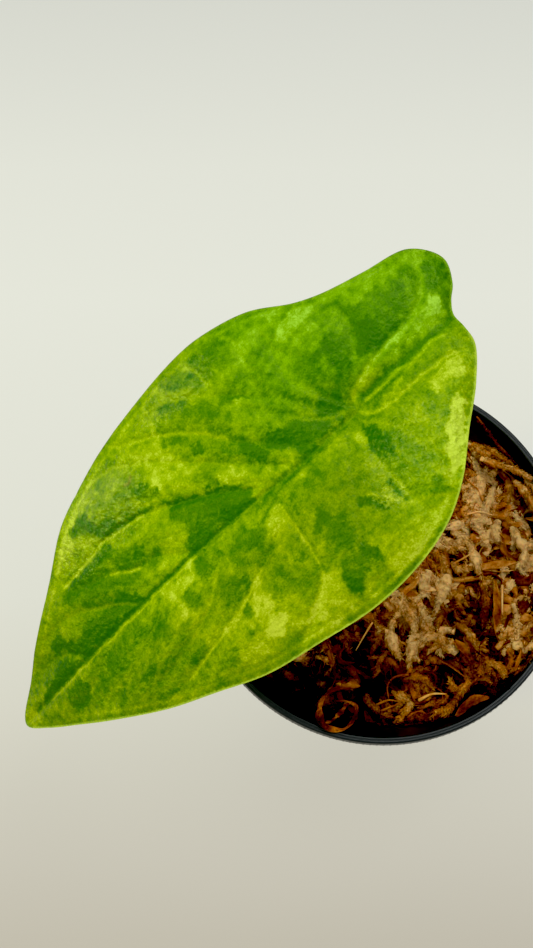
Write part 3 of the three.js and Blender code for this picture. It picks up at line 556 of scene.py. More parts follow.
# Strands that lie on top, as (half width, tone, points in the pot's plan)
MOSS_TUFTS = [
    (1.5, 0.8, [(3.8, -16.5), (3, -20), (4, -24), (5.5, -27)]),
    (1.5, 0.85, [(17, -20.5), (12, -21.5), (9, -23.5), (8, -26.5), (7.5, -29.5)]),
    (1.2, 0.7, [(16.3, -20), (16.6, -22.5), (17.4, -24.5)]),
    (1.1, 0.72, [(11, -12), (12.5, -16), (14.3, -19.5)]),
    (1.7, 0.68, [(6, -9), (7.5, -13), (9, -17), (9.5, -21.5)]),
    (1.5, 0.66, [(3.5, -10.5), (6, -12.5), (8, -15)]),
    (1.8, 0.8, [(19, -4), (17.5, -8.5), (15.5, -14)]),
    (1.7, 0.78, [(13.8, -3), (12.3, -6.5), (12.8, -10)]),
    (1.3, 0.62, [(22.7, -7), (21.5, -11), (21.6, -15.5)]),
    (0.9, 0.62, [(20.3, -13.5), (17.5, -14.4), (16, -17), (15.3, -20)]),
    (0.8, 0.6, [(24.8, -15), (22.8, -18)]),
    (1.0, 0.68, [(20, -17), (23, -19), (25, -22), (26.3, -26.5)]),
    (1.5, 0.44, [(28, -7.5), (28.7, -12), (27.5, -18)]),
    (1.1, 0.68, [(36, -12), (37, -16), (36, -20), (34.5, -23), (32.3, -26)]),
    (1.2, 0.66, [(39.5, -8), (40, -12), (38, -17)]),
    (1.0, 0.56, [(27, -25.5), (28.5, -28), (29, -31)]),
    (1.3, 0.74, [(23.5, -32.8), (20.8, -36.3), (18.2, -39.6), (15.8, -42)]),
    (1.3, 0.74, [(3, -35.5), (6, -37.3), (8.3, -39.3)]),
    (1.4, 0.78, [(8.3, -38.3), (5.6, -42), (3, -45.6)]),
    (1.2, 0.62, [(7, -32.2), (10.5, -31.8), (14, -34.7)]),
    (1.0, 0.66, [(-4.6, -36), (-2.6, -39), (0, -41.2), (3.3, -42.4)]),
    (1.2, 0.5, [(6, -43.5), (9.5, -41.8), (13, -44)]),
    (1.1, 0.54, [(-6, -14), (-1.5, -16.5), (0.8, -20)]),
    (0.9, 0.46, [(1.6, -19), (-1, -23), (-2.6, -26.3)]),
    (0.8, 0.56, [(2, -24.8), (0.2, -27), (-1.2, -30)]),
    (1.0, 0.42, [(-10, -18.5), (-8, -21), (-5.5, -21.6)]),
    (1.4, 0.68, [(25, 33.6), (28.5, 32), (32, 33.3)]),
    (1.0, 0.74, [(30.3, 33), (31, 30.4), (32.3, 28.4)]),
    (0.9, 0.66, [(32.5, 29.6), (37, 27), (41.4, 24.2)]),
    (1.6, 0.8, [(26.3, 29.3), (28.3, 25.5), (29, 21.5), (27, 17), (25, 13.3)]),
    (1.2, 0.84, [(27.5, 24.6), (30.3, 23), (33, 21.6)]),
    (1.2, 0.84, [(32.3, 20.5), (31.2, 17), (29.6, 13.3), (28.3, 10)]),
    (0.9, 0.6, [(23, 20.3), (25.8, 21.3), (27, 23)]),
    (0.8, 0.6, [(23.3, 16.6), (25.5, 18.2), (28, 20.3)]),
    (1.3, 0.54, [(36, 22.6), (37, 19.3), (35.3, 16.3)]),
    (1.2, 0.75, [(33.3, 11), (32.2, 8), (33.2, 5.3)]),
    (1.0, 0.68, [(37, 16.3), (38, 12.3), (40.3, 8.7)]),
    (1.4, 0.76, [(36.8, 9.3), (38.4, 6), (40, 3), (39.2, -1.5)]),
    (1.3, 0.72, [(20, 8), (24, 6), (26, 2), (27, -2), (28, -5.5)]),
    (1.2, 0.68, [(16.5, 7.4), (20, 4.6), (23.5, 3)]),
    (1.3, 0.62, [(14.5, 2.5), (17.5, 0.5), (17.5, -3)]),
    (1.2, 0.58, [(20, -0.5), (22, -2.5), (25, -2.8)]),
]
# Strands banked against the right wall, as (half width, tone, points with their height)
MOSS_BANK = [
    (0.6, 0.22, [(27.6, 39, 84), (30.3, 35.6, 82.5), (33.2, 31.5, 81.5), (36, 28.6, 81),
        (38.4, 25.6, 80.5)]),
    (1.3, 0.74, [(28.6, 27.8, 80.5), (33.6, 25.5, 81.5), (37.4, 23.7, 81.5), (41, 20.6, 81)]),
    (1.3, 0.62, [(30, 32, 78.5), (34, 29, 79.5), (37.6, 26, 80)]),
    (1.4, 0.7, [(27, 33, 77.5), (30, 30, 79), (31.5, 26.5, 80)]),
    (1.5, 0.66, [(40, 21.5, 79), (42.3, 16, 80), (43, 10, 79.5)]),
    (1.3, 0.6, [(37, 21, 80), (40, 15, 80.5), (41, 8, 80)]),
    (1.5, 0.68, [(43.3, 9, 79.5), (43.6, 2, 80), (42.6, -5, 79.5)]),
    (1.4, 0.58, [(40.5, 5, 80.5), (41.5, -2, 80.5), (39.5, -8, 80)]),
    (1.4, 0.7, [(43, -4, 79.5), (42.6, -10, 80), (41, -16, 79.5)]),
    (1.3, 0.6, [(41.5, -12, 79.5), (40.6, -18, 79.5), (38, -23.5, 79)]),
    (1.2, 0.56, [(40, -19.5, 78.5), (37.4, -24.6, 78.5), (34.2, -29, 78)]),
    (1.4, 0.5, [(36.5, -25.5, 77.5), (32.5, -30.5, 77), (28, -34.5, 76.5)]),
    (1.4, 0.46, [(30.5, -32, 76.5), (25.5, -36, 76), (20, -39.6, 75.5)]),
    (1.3, 0.42, [(23.5, -37, 76), (17.6, -40.5, 75.5), (11.5, -42.8, 75)]),
    (1.2, 0.44, [(13, -42, 75.5), (7, -43.4, 75.5), (1, -44, 75)]),
]
# Dry strips and thin stiff fibres, in the form of MOSS_TUFTS
MOSS_SCRAPS = [
    (1.5, 0.6, [(31.5, -5.5), (32, -12), (31.5, -18), (32.2, -24.5)]),
    (1.2, 0.5, [(36.8, -20.5), (37.6, -25), (35.8, -30)]),
    (1.9, 0.44, [(20, -22), (22.5, -25), (24.5, -29.5)]),
    (1.7, 0.42, [(22.5, -21), (25, -25), (29, -28)]),
    (0.8, 0.48, [(15, -26.5), (19.5, -29.5), (22.5, -31.8)]),
    (1.3, 0.56, [(29, -32), (25.5, -32.3), (22, -34.8)]),
    (1.6, 0.38, [(28.5, -37), (24, -37.8), (19.5, -42)]),
    (1.7, 0.44, [(5.5, -44), (10, -41.5), (13.5, -44.5)]),
    (1.5, 0.4, [(14, -37), (14.5, -41), (13.5, -45)]),
    (1.2, 0.48, [(-14.8, -21.5), (-13.3, -25), (-12.6, -29.5)]),
    (1.3, 0.26, [(-12.5, -28), (-12, -32), (-13, -36)]),
    (1.8, 0.24, [(-10, -27.5), (-6, -30.5), (-2, -32)]),
    (1.0, 0.54, [(-13.8, -35.3), (-11, -34), (-7.3, -35.2)]),
    (1.0, 0.4, [(-10.3, -32.5), (-11, -36), (-9.5, -39.5)]),
    (0.9, 0.3, [(-17, -25), (-18.5, -29), (-17, -33.5)]),
    (0.8, 0.44, [(-30.5, -30.8), (-29.5, -32.8), (-28.2, -34.6)]),
    (0.7, 0.3, [(-21.5, -30.5), (-20.7, -32.5), (-20, -35)]),
    (1.2, 0.36, [(-4.3, -40.5), (-3, -43.7), (0.5, -46)]),
    (1.3, 0.74, [(26.5, -2), (31.5, -1.4), (37.5, -0.6)]),
    (0.7, 0.78, [(27.5, -2.8), (32, -3.2), (36.8, -2.8)]),
    (0.8, 0.72, [(20.3, -5.6), (25, -5.2), (29, -4.6)]),
    (1.1, 0.46, [(25, 9.5), (27.5, 7), (30.5, 6.5)]),
    (1.1, 0.5, [(25.3, 31), (27, 28), (26, 24.5)]),
    (1.0, 0.5, [(33, 27), (35, 24), (38.5, 20)]),
]
MOSS_STRAWS = [
    (0.33, 0.88, [(-1.8, -17), (-4, -20.5), (-6.4, -24.6)]),
    (0.35, 0.55, [(-1.2, -39), (2, -37.8), (5.2, -38.3)]),
    (0.35, 0.5, [(0, -40.6), (3.5, -39.2), (6, -38.6)]),
    (0.4, 0.5, [(7.5, -31), (3.6, -31.8), (1.8, -34), (2, -37.4)]),
    (0.5, 0.78, [(10, -37.8), (13.5, -36.2), (17.3, -36.2)]),
    (0.4, 0.9, [(33.4, -7), (33.2, -11), (33, -15)]),
    (0.35, 0.9, [(24.3, 12.7), (28, 13.6), (31.6, 12.8)]),
    (0.5, 0.24, [(29.3, 40), (33, 35), (35.2, 31), (38, 26.6), (41.5, 22.5)]),
    (0.3, 0.75, [(20.5, -1), (26, 2.5), (27.5, 6)]),
]
# Lighter and darker parts of the moss: (change of tone, centre, reach) in the pot's plan
MOSS_ZONES = [
    (-0.16, (24, -18), (10, 9)), (-0.2, (20, -33), (9, 7)), (0.1, (2, -41), (12, 6)),
    (0.16, (10, -8), (7, 9)), (0.12, (29, 13), (7, 9)), (-0.12, (2, -25), (4, 4)),
    (0.14, (39, 9), (5, 7)), (-0.2, (33, -28), (8, 7)), (-0.1, (5, -20), (5, 5)),
    (0.3, (31, -17), (5, 4)), (-0.12, (32, -8), (6, 6)), (-0.16, (20, -16), (7, 7)),
    (-0.12, (0, -22), (4, 4)), (-0.12, (37, -28), (4, 5)), (-0.14, (25.6, -38), (5, 4)),
    (-0.12, (-5.7, -33), (4, 4)), (0.1, (8, -45), (9, 3)),
]
# The curled dry sheath and the torn end inside its loop
SHEATH_LOOP = [
    (-6, -33.5, 74.5), (-9.5, -34.8, 77.5), (-13.6, -36.3, 80), (-15.8, -39, 82), (-16.5, -42.6, 84),
    (-15.9, -45.1, 85.9), (-13.8, -46.4, 86.6), (-10.4, -46.4, 86.4), (-7.7, -43.2, 84.3),
    (-7.1, -40.1, 82), (-9.4, -38.5, 79.5), (-12, -38, 77),
]
SHEATH_SPUR = [
    (-8.6, -38.6, 78), (-9.8, -40.3, 81), (-11.9, -42.6, 83), (-13.8, -44.4, 84.8), (-16.2, -45, 85.8),
]


# Numbers

def mix(low, high, part):
    return low + (high - low) * part


def smooth(value, low, high):
    part = np.clip((value - low) / (high - low), 0, 1)
    return part * part * (3 - 2 * part)


def value_noise(x, y, seed):
    """Smooth noise from -1 to 1 over a plane, with about one bump a unit."""
    table = np.random.default_rng(seed).uniform(-1, 1, (256, 256))
    column = np.floor(x).astype(int)
    row = np.floor(y).astype(int)
    u = x - column
    v = y - row
    u = u * u * (3 - 2 * u)
    v = v * v * (3 - 2 * v)
    corners = [table[(column + i) % 256, (row + j) % 256] for j in (0, 1) for i in (0, 1)]
    return mix(mix(corners[0], corners[1], u), mix(corners[2], corners[3], u), v)


def fine_noise(x, y, seed, octaves=3, fade=0.5):
    """Noise from -1 to 1 whose finer and finer bumps are each lower by the fade."""
    total = sum(value_noise(x * 2**k, y * 2**k, seed + k) * fade**k for k in range(octaves))
    return total / sum(fade**k for k in range(octaves))


def curve_through(points, steps, closed=False):
    """A smooth curve through the points, with the given steps from each point to the next."""
    points = np.array(points, float)
    if closed:
        points = np.vstack([points[-1:], points, points[:2]])
    else:
        points = np.vstack([2 * points[0] - points[1], points, 2 * points[-1] - points[-2]])
    along = np.linspace(0, 1, steps, endpoint=False)[:, None]
    pieces = []
    for before, start, end, after in zip(points, points[1:], points[2:], points[3:]):
        gaps = [max(np.linalg.norm(b - a) ** 0.5, 1e-6)
                for a, b in ((before, start), (start, end), (end, after))]
        leave = ((start - before) / gaps[0] - (end - before) / (gaps[0] + gaps[1])
                 + (end - start) / gaps[1]) * gaps[1]
        arrive = ((end - start) / gaps[1] - (after - start) / (gaps[1] + gaps[2])
                  + (after - end) / gaps[2]) * gaps[1]
        pieces.append((2 * along**3 - 3 * along**2 + 1) * start
                      + (along**3 - 2 * along**2 + along) * leave
                      + (3 * along**2 - 2 * along**3) * end
                      + (along**3 - along**2) * arrive)
    if not closed:
        pieces.append(points[-2:-1])
    return np.vstack(pieces)


def evenly(points, count):
    """The same line with evenly spaced points, and its length."""
    steps = np.linalg.norm(np.diff(points, axis=0), axis=1)
    run = np.concatenate([[0], np.cumsum(steps)])
    places = np.linspace(0, run[-1], count)
    return np.stack([np.interp(places, run, axis) for axis in points.T], 1), run[-1]


def zone_share(x, y, centre, reach, inner, outer):
    """1 in the middle of an oval zone, falling to 0 between two shares of its reach."""
    away = np.hypot((x - centre[0]) / reach[0], (y - centre[1]) / reach[1])
    return 1 - smooth(away, inner, outer)


def distance_to_line(s, t, points):
    """Distance from each place to the nearest point of a line."""
    points = np.array(points, float)
    nearest = np.full(np.shape(s), 1e9)
    for (s0, t0), (s1, t1) in zip(points, points[1:]):
        length = (s1 - s0) ** 2 + (t1 - t0) ** 2
        part = np.clip(((s - s0) * (s1 - s0) + (t - t0) * (t1 - t0)) / max(length, 1e-9), 0, 1)
        away = np.hypot(s - s0 - part * (s1 - s0), t - t0 - part * (t1 - t0))
        nearest = np.minimum(nearest, away)
    return nearest


def depth_inside(s, t, corners):
    """Distance to the edge of an area, more than 0 inside it."""
    ring = list(corners) + [corners[0]]
    inside = np.zeros(np.shape(s), bool)
    for (s0, t0), (s1, t1) in zip(ring, ring[1:]):
        if t0 != t1:
            crossing = s0 + (t - t0) * (s1 - s0) / (t1 - t0)
            inside ^= ((t0 > t) != (t1 > t)) & (s < crossing)
    return np.where(inside, 1, -1) * distance_to_line(s, t, ring)


# Meshes

def piece(name, points, faces, material, node, values=None):
    """A finished piece: a smooth mesh in metres that stands for a node of the frame."""
    mesh = bpy.data.meshes.new(name)
    mesh.from_pydata((np.asarray(points, float) * MM).tolist(), [], faces)
    for label, numbers in (values or {}).items():
        attribute = mesh.attributes.new(label, "FLOAT", "POINT")
        attribute.data.foreach_set("value", np.asarray(numbers, np.float32))
    mesh.polygons.foreach_set("use_smooth", np.ones(len(mesh.polygons), bool))
    mesh.materials.append(material)
    made = bpy.data.objects.new(name, mesh)
    bpy.context.scene.collection.objects.link(made)
    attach(made, BODY)
    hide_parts(node)
    return made


class Heap:
    """Many small closed solids gathered into one mesh."""

    def __init__(self):
        self.points = []
        self.faces = []
        self.values = {}
        self.count = 0

    def add(self, points, faces, **values):
        self.points.append(points)
        self.faces.append(np.asarray(faces) + self.count)
        for label, numbers in values.items():
            self.values.setdefault(label, []).append(np.broadcast_to(numbers, len(points)))
        self.count += len(points)

    def faces_list(self):
        return [face for block in self.faces for face in block.tolist()]

    def piece(self, name, material, slot, node):
        values = {label: np.concatenate(parts) for label, parts in self.values.items()}
        return piece(name, np.vstack(self.points), self.faces_list(), material, node, values)


def cell_corners(rings, sides):
    """The two lower corners of each cell of a skin that runs round through rings of points."""
    ring, side = np.meshgrid(np.arange(rings - 1), np.arange(sides), indexing="ij")
    return (ring * sides + side).ravel(), (ring * sides + (side + 1) % sides).ravel()


def tube_faces(rings, sides):
    """Triangles of a closed skin through rings of points, with a fan over each end."""
    a, b = cell_corners(rings, sides)
    walls = np.vstack([np.stack([a, b, b + sides], 1), np.stack([a, b + sides, a + sides], 1)])
    last = (rings - 1) * sides
    fans = [[0, k + 1, k] for k in range(1, sides - 1)]
    fans += [[last, last + k, last + k + 1] for k in range(1, sides - 1)]
    return np.vstack([walls, fans])


def full_turn(sides):
    """Evenly spaced angles round a circle."""
    return np.arange(sides) * 2 * math.pi / sides


def rings_round(line, side, out, across, rise):
    """Rings of points about a line, each point moved by its amounts sideways and outwards."""
    points = line[:, None] + side[:, None] * across[..., None] + out[:, None] * rise[..., None]
    return points.reshape(-1, 3)


def twisted(side, out, twist):
    """The sideways and outward directions, turned about the line."""
    cosine = np.cos(twist)[:, None]
    sine = np.sin(twist)[:, None]
    return side * cosine + out * sine, out * cosine - side * sine


def directions(spine, up=(0, 0, 1)):
    """Along, sideways and outward directions at each point of a line."""
    along = np.gradient(spine, axis=0)
    along /= np.linalg.norm(along, axis=1, keepdims=True) + 1e-12
    side = np.cross(np.broadcast_to(up, along.shape), along)
    weak = np.linalg.norm(side, axis=1) < 1e-3
    side[weak] = (1, 0, 0)
    side /= np.linalg.norm(side, axis=1, keepdims=True)
    return along, side, np.cross(along, side)


# Materials

def node(tree, kind, inputs=None, **settings):
    """A shader node whose inputs are each linked to a socket or set to a value."""
    made = tree.nodes.new(kind)
    for key, value in settings.items():
        setattr(made, key, value)
    for key, value in (inputs or {}).items():
        if isinstance(value, bpy.types.NodeSocket):
            tree.links.new(value, made.inputs[key])
        else:
            made.inputs[key].default_value = value
    return made


def blank(name, **shader_values):
    """A new material with its tree and shader, and the shader's fixed values."""
    material = bpy.data.materials.new(name)
    material.use_nodes = True
    tree = material.node_tree
    shader = tree.nodes["Principled BSDF"]
    for key, value in shader_values.items():
        shader.inputs[key.replace("_", " ")].default_value = value
    return material, tree, shader


def value_of(tree, label):
    """A value that the mesh carries at each point."""
    return node(tree, "ShaderNodeAttribute", attribute_name=label).outputs["Fac"]


def maths(tree, operation, a, b, clamp=False):
    made = node(tree, "ShaderNodeMath", {0: a, 1: b}, operation=operation, use_clamp=clamp)
    return made.outputs[0]


def grain(tree, scale, detail, roughness=0.6, stretch=(1, 1, 1)):
    """Noise from 0 to 1 on the piece's own coordinates, with about scale bumps a metre."""
    place = node(tree, "ShaderNodeTexCoord").outputs["Object"]
    mapped = node(tree, "ShaderNodeMapping", {"Vector": place, "Scale": stretch})
    made = node(tree, "ShaderNodeTexNoise", {
        "Vector": mapped.outputs[0], "Scale": scale, "Detail": detail, "Roughness": roughness,
    })
    return made.outputs["Fac"]


def woven(tree, place, scale, detail, roughness):
    """Noise around 0 on given coordinates in millimetres."""
    scaled = node(tree, "ShaderNodeVectorMath", {0: place, 1: scale}, operation="MULTIPLY")
    made = node(tree, "ShaderNodeTexNoise", {
        "Vector": scaled.outputs[0], "Scale": 1.0, "Detail": detail, "Roughness": roughness,
    })
    return maths(tree, "SUBTRACT", made.outputs["Fac"], 0.5)


def ramp(tree, factor, stops):
    """A colour ramp through stops of (place, colour)."""
    made = node(tree, "ShaderNodeValToRGB", {"Fac": factor})
    elements = made.color_ramp.elements
    while len(elements) < len(stops):
        elements.new(0.5)
    for element, (place, colour) in zip(elements, stops):
        element.position = place
        element.color = (*colour, 1)
    return made.outputs["Color"]


def blended(tree, factor, first, second, kind="MIX"):
    """The first colour turned into the second by the factor."""
    made = node(tree, "ShaderNodeMix", data_type="RGBA", blend_type=kind)
    for socket, value in ((made.inputs[0], factor), (made.inputs[6], first),
                          (made.inputs[7], second)):
        if isinstance(value, bpy.types.NodeSocket):
            tree.links.new(value, socket)
        elif isinstance(value, tuple):
            socket.default_value = (*value, 1)
        else:
            socket.default_value = value
    return made.outputs[2]


def bump(tree, shader, height, distance, strength=1.0):
    made = node(tree, "ShaderNodeBump", {
        "Height": height, "Distance": distance, "Strength": strength,
    })
    tree.links.new(made.outputs[0], shader.inputs["Normal"])


def leaf_material():
    """Mottled skin: the tone of each point is broken up most where it is neither dark nor pale."""
    material, tree, shader = blank(
        "leaf_skin", IOR=1.42, Specular_IOR_Level=0.55, Specular_Tint=(0.85, 1, 0.25, 1),
        Coat_Roughness=0.12)
    across_veins = node(tree, "ShaderNodeCombineXYZ", {
        "X": value_of(tree, "cross"), "Y": value_of(tree, "along"), "Z": value_of(tree, "t"),
    }).outputs[0]
    flat = node(tree, "ShaderNodeCombineXYZ", {
        "X": value_of(tree, "s"), "Y": value_of(tree, "t"),
    }).outputs[0]
    streaks = woven(tree, across_veins, (0.7, 0.3, 0), 2, 0.5)
    spots = woven(tree, flat, (0.55, 0.55, 1), 6, 0.8)
    fleck = woven(tree, flat, (2.6, 2.6, 1), 2, 0.6)
    tone = value_of(tree, "tone")
    unsure = maths(tree, "MULTIPLY", tone, maths(tree, "SUBTRACT", 1.0, tone))
    swing = maths(tree, "ADD", 0.4, maths(tree, "MULTIPLY", unsure, 2.6))
    mottle = maths(tree, "ADD", maths(tree, "MULTIPLY", streaks, 0.4), spots)
    level = maths(tree, "ADD", tone, maths(tree, "MULTIPLY", mottle, swing))
    level = maths(tree, "ADD", level, maths(tree, "MULTIPLY", fleck, 0.5), clamp=True)
    upper = ramp(tree, level, LEAF_COLOURS)
    lower = ramp(tree, level, LEAF_UNDERSIDE)
    olive = blended(tree, value_of(tree, "olive"), upper, LEAF_OLIVE_TINT, "MULTIPLY")
    fresh = blended(tree, value_of(tree, "fresh"), olive, LEAF_FRESH_TINT, "MULTIPLY")
    faced = blended(tree, value_of(tree, "under"), fresh, lower)
    marked = blended(tree, value_of(tree, "brown"), faced, LEAF_BROWN)
    rimmed = blended(tree, value_of(tree, "rim"), marked, LEAF_RIM_HIGHLIGHT)
    tree.links.new(rimmed, shader.inputs["Base Color"])
    gloss = value_of(tree, "gloss")
    rough = maths(tree, "ADD", 0.44, maths(tree, "MULTIPLY", spots, 0.3))
    rough = maths(tree, "SUBTRACT", rough, maths(tree, "MULTIPLY", gloss, 0.3))
    tree.links.new(rough, shader.inputs["Roughness"])
    coat = maths(tree, "MULTIPLY", gloss, gloss)
    coat = maths(tree, "MULTIPLY", coat, maths(tree, "ADD", 0.4, spots), clamp=True)
    tree.links.new(coat, shader.inputs["Coat Weight"])
    crinkle = woven(tree, flat, (0.8, 0.8, 1), 2, 0.5)
    crinkle = maths(tree, "MULTIPLY", crinkle, maths(tree, "ADD", 0.6, gloss))
    bump(tree, shader, crinkle, 0.0007, 1.0)
    tree.links.new(shader.inputs["Normal"].links[0].from_socket, shader.inputs["Coat Normal"])
    return material


def petiole_material():
    """Green skin with long patches and fine ribs along the stalk."""
    material, tree, shader = blank("petiole_skin", Roughness=0.42, IOR=1.42)
    level = value_of(tree, "tone")
    patches = grain(tree, 260, 4, 0.7, (1, 1, 0.3))
    tinted = maths(tree, "ADD", level, maths(tree, "SUBTRACT", patches, 0.5), clamp=True)
    tree.links.new(ramp(tree, tinted, STALK_COLOURS), shader.inputs["Base Color"])
    bump(tree, shader, grain(tree, 2200, 3, 0.6, (1, 1, 0.12)), 0.00015, 0.6)
    return material


def moss_material():
    """Dull fibres with broad stains and fine flecks, a little translucent."""
    material, tree, shader = blank(
        "dried_moss", Roughness=0.9, IOR=1.35, Specular_IOR_Level=0.1,
        Specular_Tint=(1, 0.7, 0.4, 1), Subsurface_Weight=0.35,
        Subsurface_Radius=(1.0, 0.4, 0.15), Subsurface_Scale=0.0009)
    stain = maths(tree, "SUBTRACT", grain(tree, 170, 3, 0.6), 0.5)
    fleck = maths(tree, "SUBTRACT", grain(tree, 1800, 4, 0.75), 0.5)
    level = maths(tree, "ADD", value_of(tree, "tone"), maths(tree, "MULTIPLY", stain, 0.8))
    level = maths(tree, "ADD", level, maths(tree, "MULTIPLY", fleck, 0.5), clamp=True)
    tree.links.new(ramp(tree, level, MOSS_COLOURS), shader.inputs["Base Color"])
    bump(tree, shader, grain(tree, 2600, 4, 0.8), 0.00015, 0.8)
    return material


def pot_material():
    """Black plastic with faint clouds, specks of dust and uneven gloss."""
    material, tree, shader = blank("pot_plastic", IOR=1.48, Specular_IOR_Level=0.45)
    colour = ramp(tree, grain(tree, 60, 3, 0.6), POT_COLOURS)
    dust = ramp(tree, grain(tree, 420, 5, 0.8), [(0.69, (0, 0, 0)), (0.78, (1, 1, 1))])
    dusty = blended(tree, maths(tree, "MULTIPLY", dust, 0.06), colour, POT_DUST)
    tree.links.new(dusty, shader.inputs["Base Color"])
    rough = maths(tree, "ADD", 0.24, maths(tree, "MULTIPLY", grain(tree, 230, 4, 0.7), 0.2))
    tree.links.new(rough, shader.inputs["Roughness"])
    bump(tree, shader, grain(tree, 1800, 2, 0.6), 0.00008, 0.5)
    return material


def corm_material():
    """Rough brown skin with rings round it."""
    material, tree, shader = blank("corm_skin", Roughness=0.9)
    colour = ramp(tree, grain(tree, 420, 5, 0.7, (1, 1, 3)), CORM_COLOURS)
    tree.links.new(colour, shader.inputs["Base Color"])
    bump(tree, shader, grain(tree, 900, 4, 0.7, (1, 1, 4)), 0.0005)
    return material


def floor_material():
    """A pale floor that glows by itself, so that it stays even under the lights."""
    material, tree, shader = blank(
        "pale_floor", Roughness=0.9, Specular_IOR_Level=0.1, Emission_Strength=1.0)
    place = node(tree, "ShaderNodeTexCoord").outputs["Object"]
    forward = node(tree, "ShaderNodeSeparateXYZ", {0: place}).outputs["Y"]
    part = node(tree, "ShaderNodeMapRange", {
        "Value": forward, "From Min": FLOOR_GLOW_NEAR, "From Max": FLOOR_GLOW_FAR,
    }).outputs["Result"]
    tree.links.new(ramp(tree, part, FLOOR_GLOW), shader.inputs["Emission Color"])
    colour = ramp(tree, grain(tree, 2, 2), FLOOR_COLOURS)
    tree.links.new(colour, shader.inputs["Base Color"])
    return material


# Camera, lights and floor

def make_camera():
    """The camera at the photograph's place and angle."""
    lens = bpy.data.cameras.new("view")
    lens.lens = CAMERA_LENS
    lens.clip_start = CLIP_START
    camera = bpy.data.objects.new("view", lens)
    camera.location = [value * MM for value in CAMERA_PLACE]
    camera.rotation_euler = (math.radians(CAMERA_TILT), 0, 0)
    bpy.context.scene.collection.objects.link(camera)
    bpy.context.scene.camera = camera


def soft_light(name, place, size, power, colour):
    """A round area light that faces the object."""
    light = bpy.data.lights.new(name, "AREA")
    light.shape = "DISK"
    light.size = size
    light.energy = power
    light.color = colour
    made = bpy.data.objects.new(name, light)
    made.location = place
    made.rotation_euler = (Vector(LIGHT_AIM) - Vector(place)).to_track_quat("-Z", "Y").to_euler()
    bpy.context.scene.collection.objects.link(made)


def make_studio():
    """Display, world, lights and floor."""
    scene = bpy.context.scene
    scene.view_settings.view_transform = "Standard"
    world = bpy.data.worlds.new("studio")
    world.use_nodes = True
    sky = world.node_tree.nodes["Background"]
    sky.inputs["Color"].default_value = SKY_COLOUR
    sky.inputs["Strength"].default_value = SKY_STRENGTH
    scene.world = world
    scene.view_settings.use_curve_mapping = True
    scene.view_settings.curve_mapping.black_level = (BLACK_LEVEL, BLACK_LEVEL, BLACK_LEVEL)
    for light in LIGHTS:
        soft_light(*light)
    make_floor()


def make_floor():
    """The pale ground, which belongs to the photograph and not to the part."""
    signs = ((-1, -1), (1, -1), (1, 1), (-1, 1))
    corners = [(x * FLOOR_HALF, y * FLOOR_HALF, FLOOR_LEVEL) for x, y in signs]
    mesh = bpy.data.meshes.new("floor")
    mesh.from_pydata(corners, [], [(0, 1, 2, 3)])
    mesh.materials.append(floor_material())
    floor = bpy.data.objects.new("floor", mesh)
    bpy.context.scene.collection.objects.link(floor)


# Pot

def outer_wall_radius(height):
    top_radius = LIP_INNER_RADIUS - SHOULDER_STEP
    return mix(BASE_RADIUS, top_radius, height / POT_HEIGHT) + WALL_OFFSET


def inner_wall_radius(height):
    return outer_wall_radius(height) - WALL + SHOULDER_STEP * (height > SHOULDER_HEIGHT)


def softened(profile):
    """The profile with each corner cut back a little, so that its edges catch the light."""
    points = [profile[0]]
    for before, corner, after in zip(profile, profile[1:], profile[2:]):
        for other in (before, after):
            part = min(CORNER_CUT / math.dist(corner, other), 0.4)
            points.append((mix(corner[0], other[0], part), mix(corner[1], other[1], part)))
    return points + [profile[-1]]


def pot_profile():
    """Radius and height from under the floor, up the wall, over the lip and down inside."""
    ledge = SHOULDER_HEIGHT + SHOULDER_SLOPE
    return softened([
        (0, 0), (BASE_RADIUS - BASE_RING, 0), (BASE_RADIUS - BASE_ROUNDING, 0),
        (outer_wall_radius(BASE_ROUNDING), BASE_ROUNDING),
        (outer_wall_radius(SHOULDER_HEIGHT), SHOULDER_HEIGHT),
        (outer_wall_radius(SHOULDER_HEIGHT) + SHOULDER_STEP, ledge),
        (outer_wall_radius(LIP_FOOT) + SHOULDER_STEP, LIP_FOOT),
        (LIP_RADIUS - LIP_ROUNDING, LIP_FOOT), (LIP_RADIUS, LIP_FOOT + LIP_ROUNDING),
        *[(LIP_RADIUS, LIP_FOOT + height) for height in KNURL_BAND],
        *[(LIP_RADIUS - inward, POT_HEIGHT - depth) for inward, depth in CREST_OUTER],
        *[(CREST_INNER_RADIUS + outward, POT_HEIGHT - depth) for outward, depth in CREST_INNER],
        (inner_wall_radius(GUIDE_FOOT), GUIDE_FOOT), (inner_wall_radius(ledge), ledge),
        (inner_wall_radius(SHOULDER_HEIGHT), SHOULDER_HEIGHT - SHOULDER_SLOPE),
        (inner_wall_radius(FLOOR_THICKNESS), FLOOR_THICKNESS), (0, FLOOR_THICKNESS),
    ])


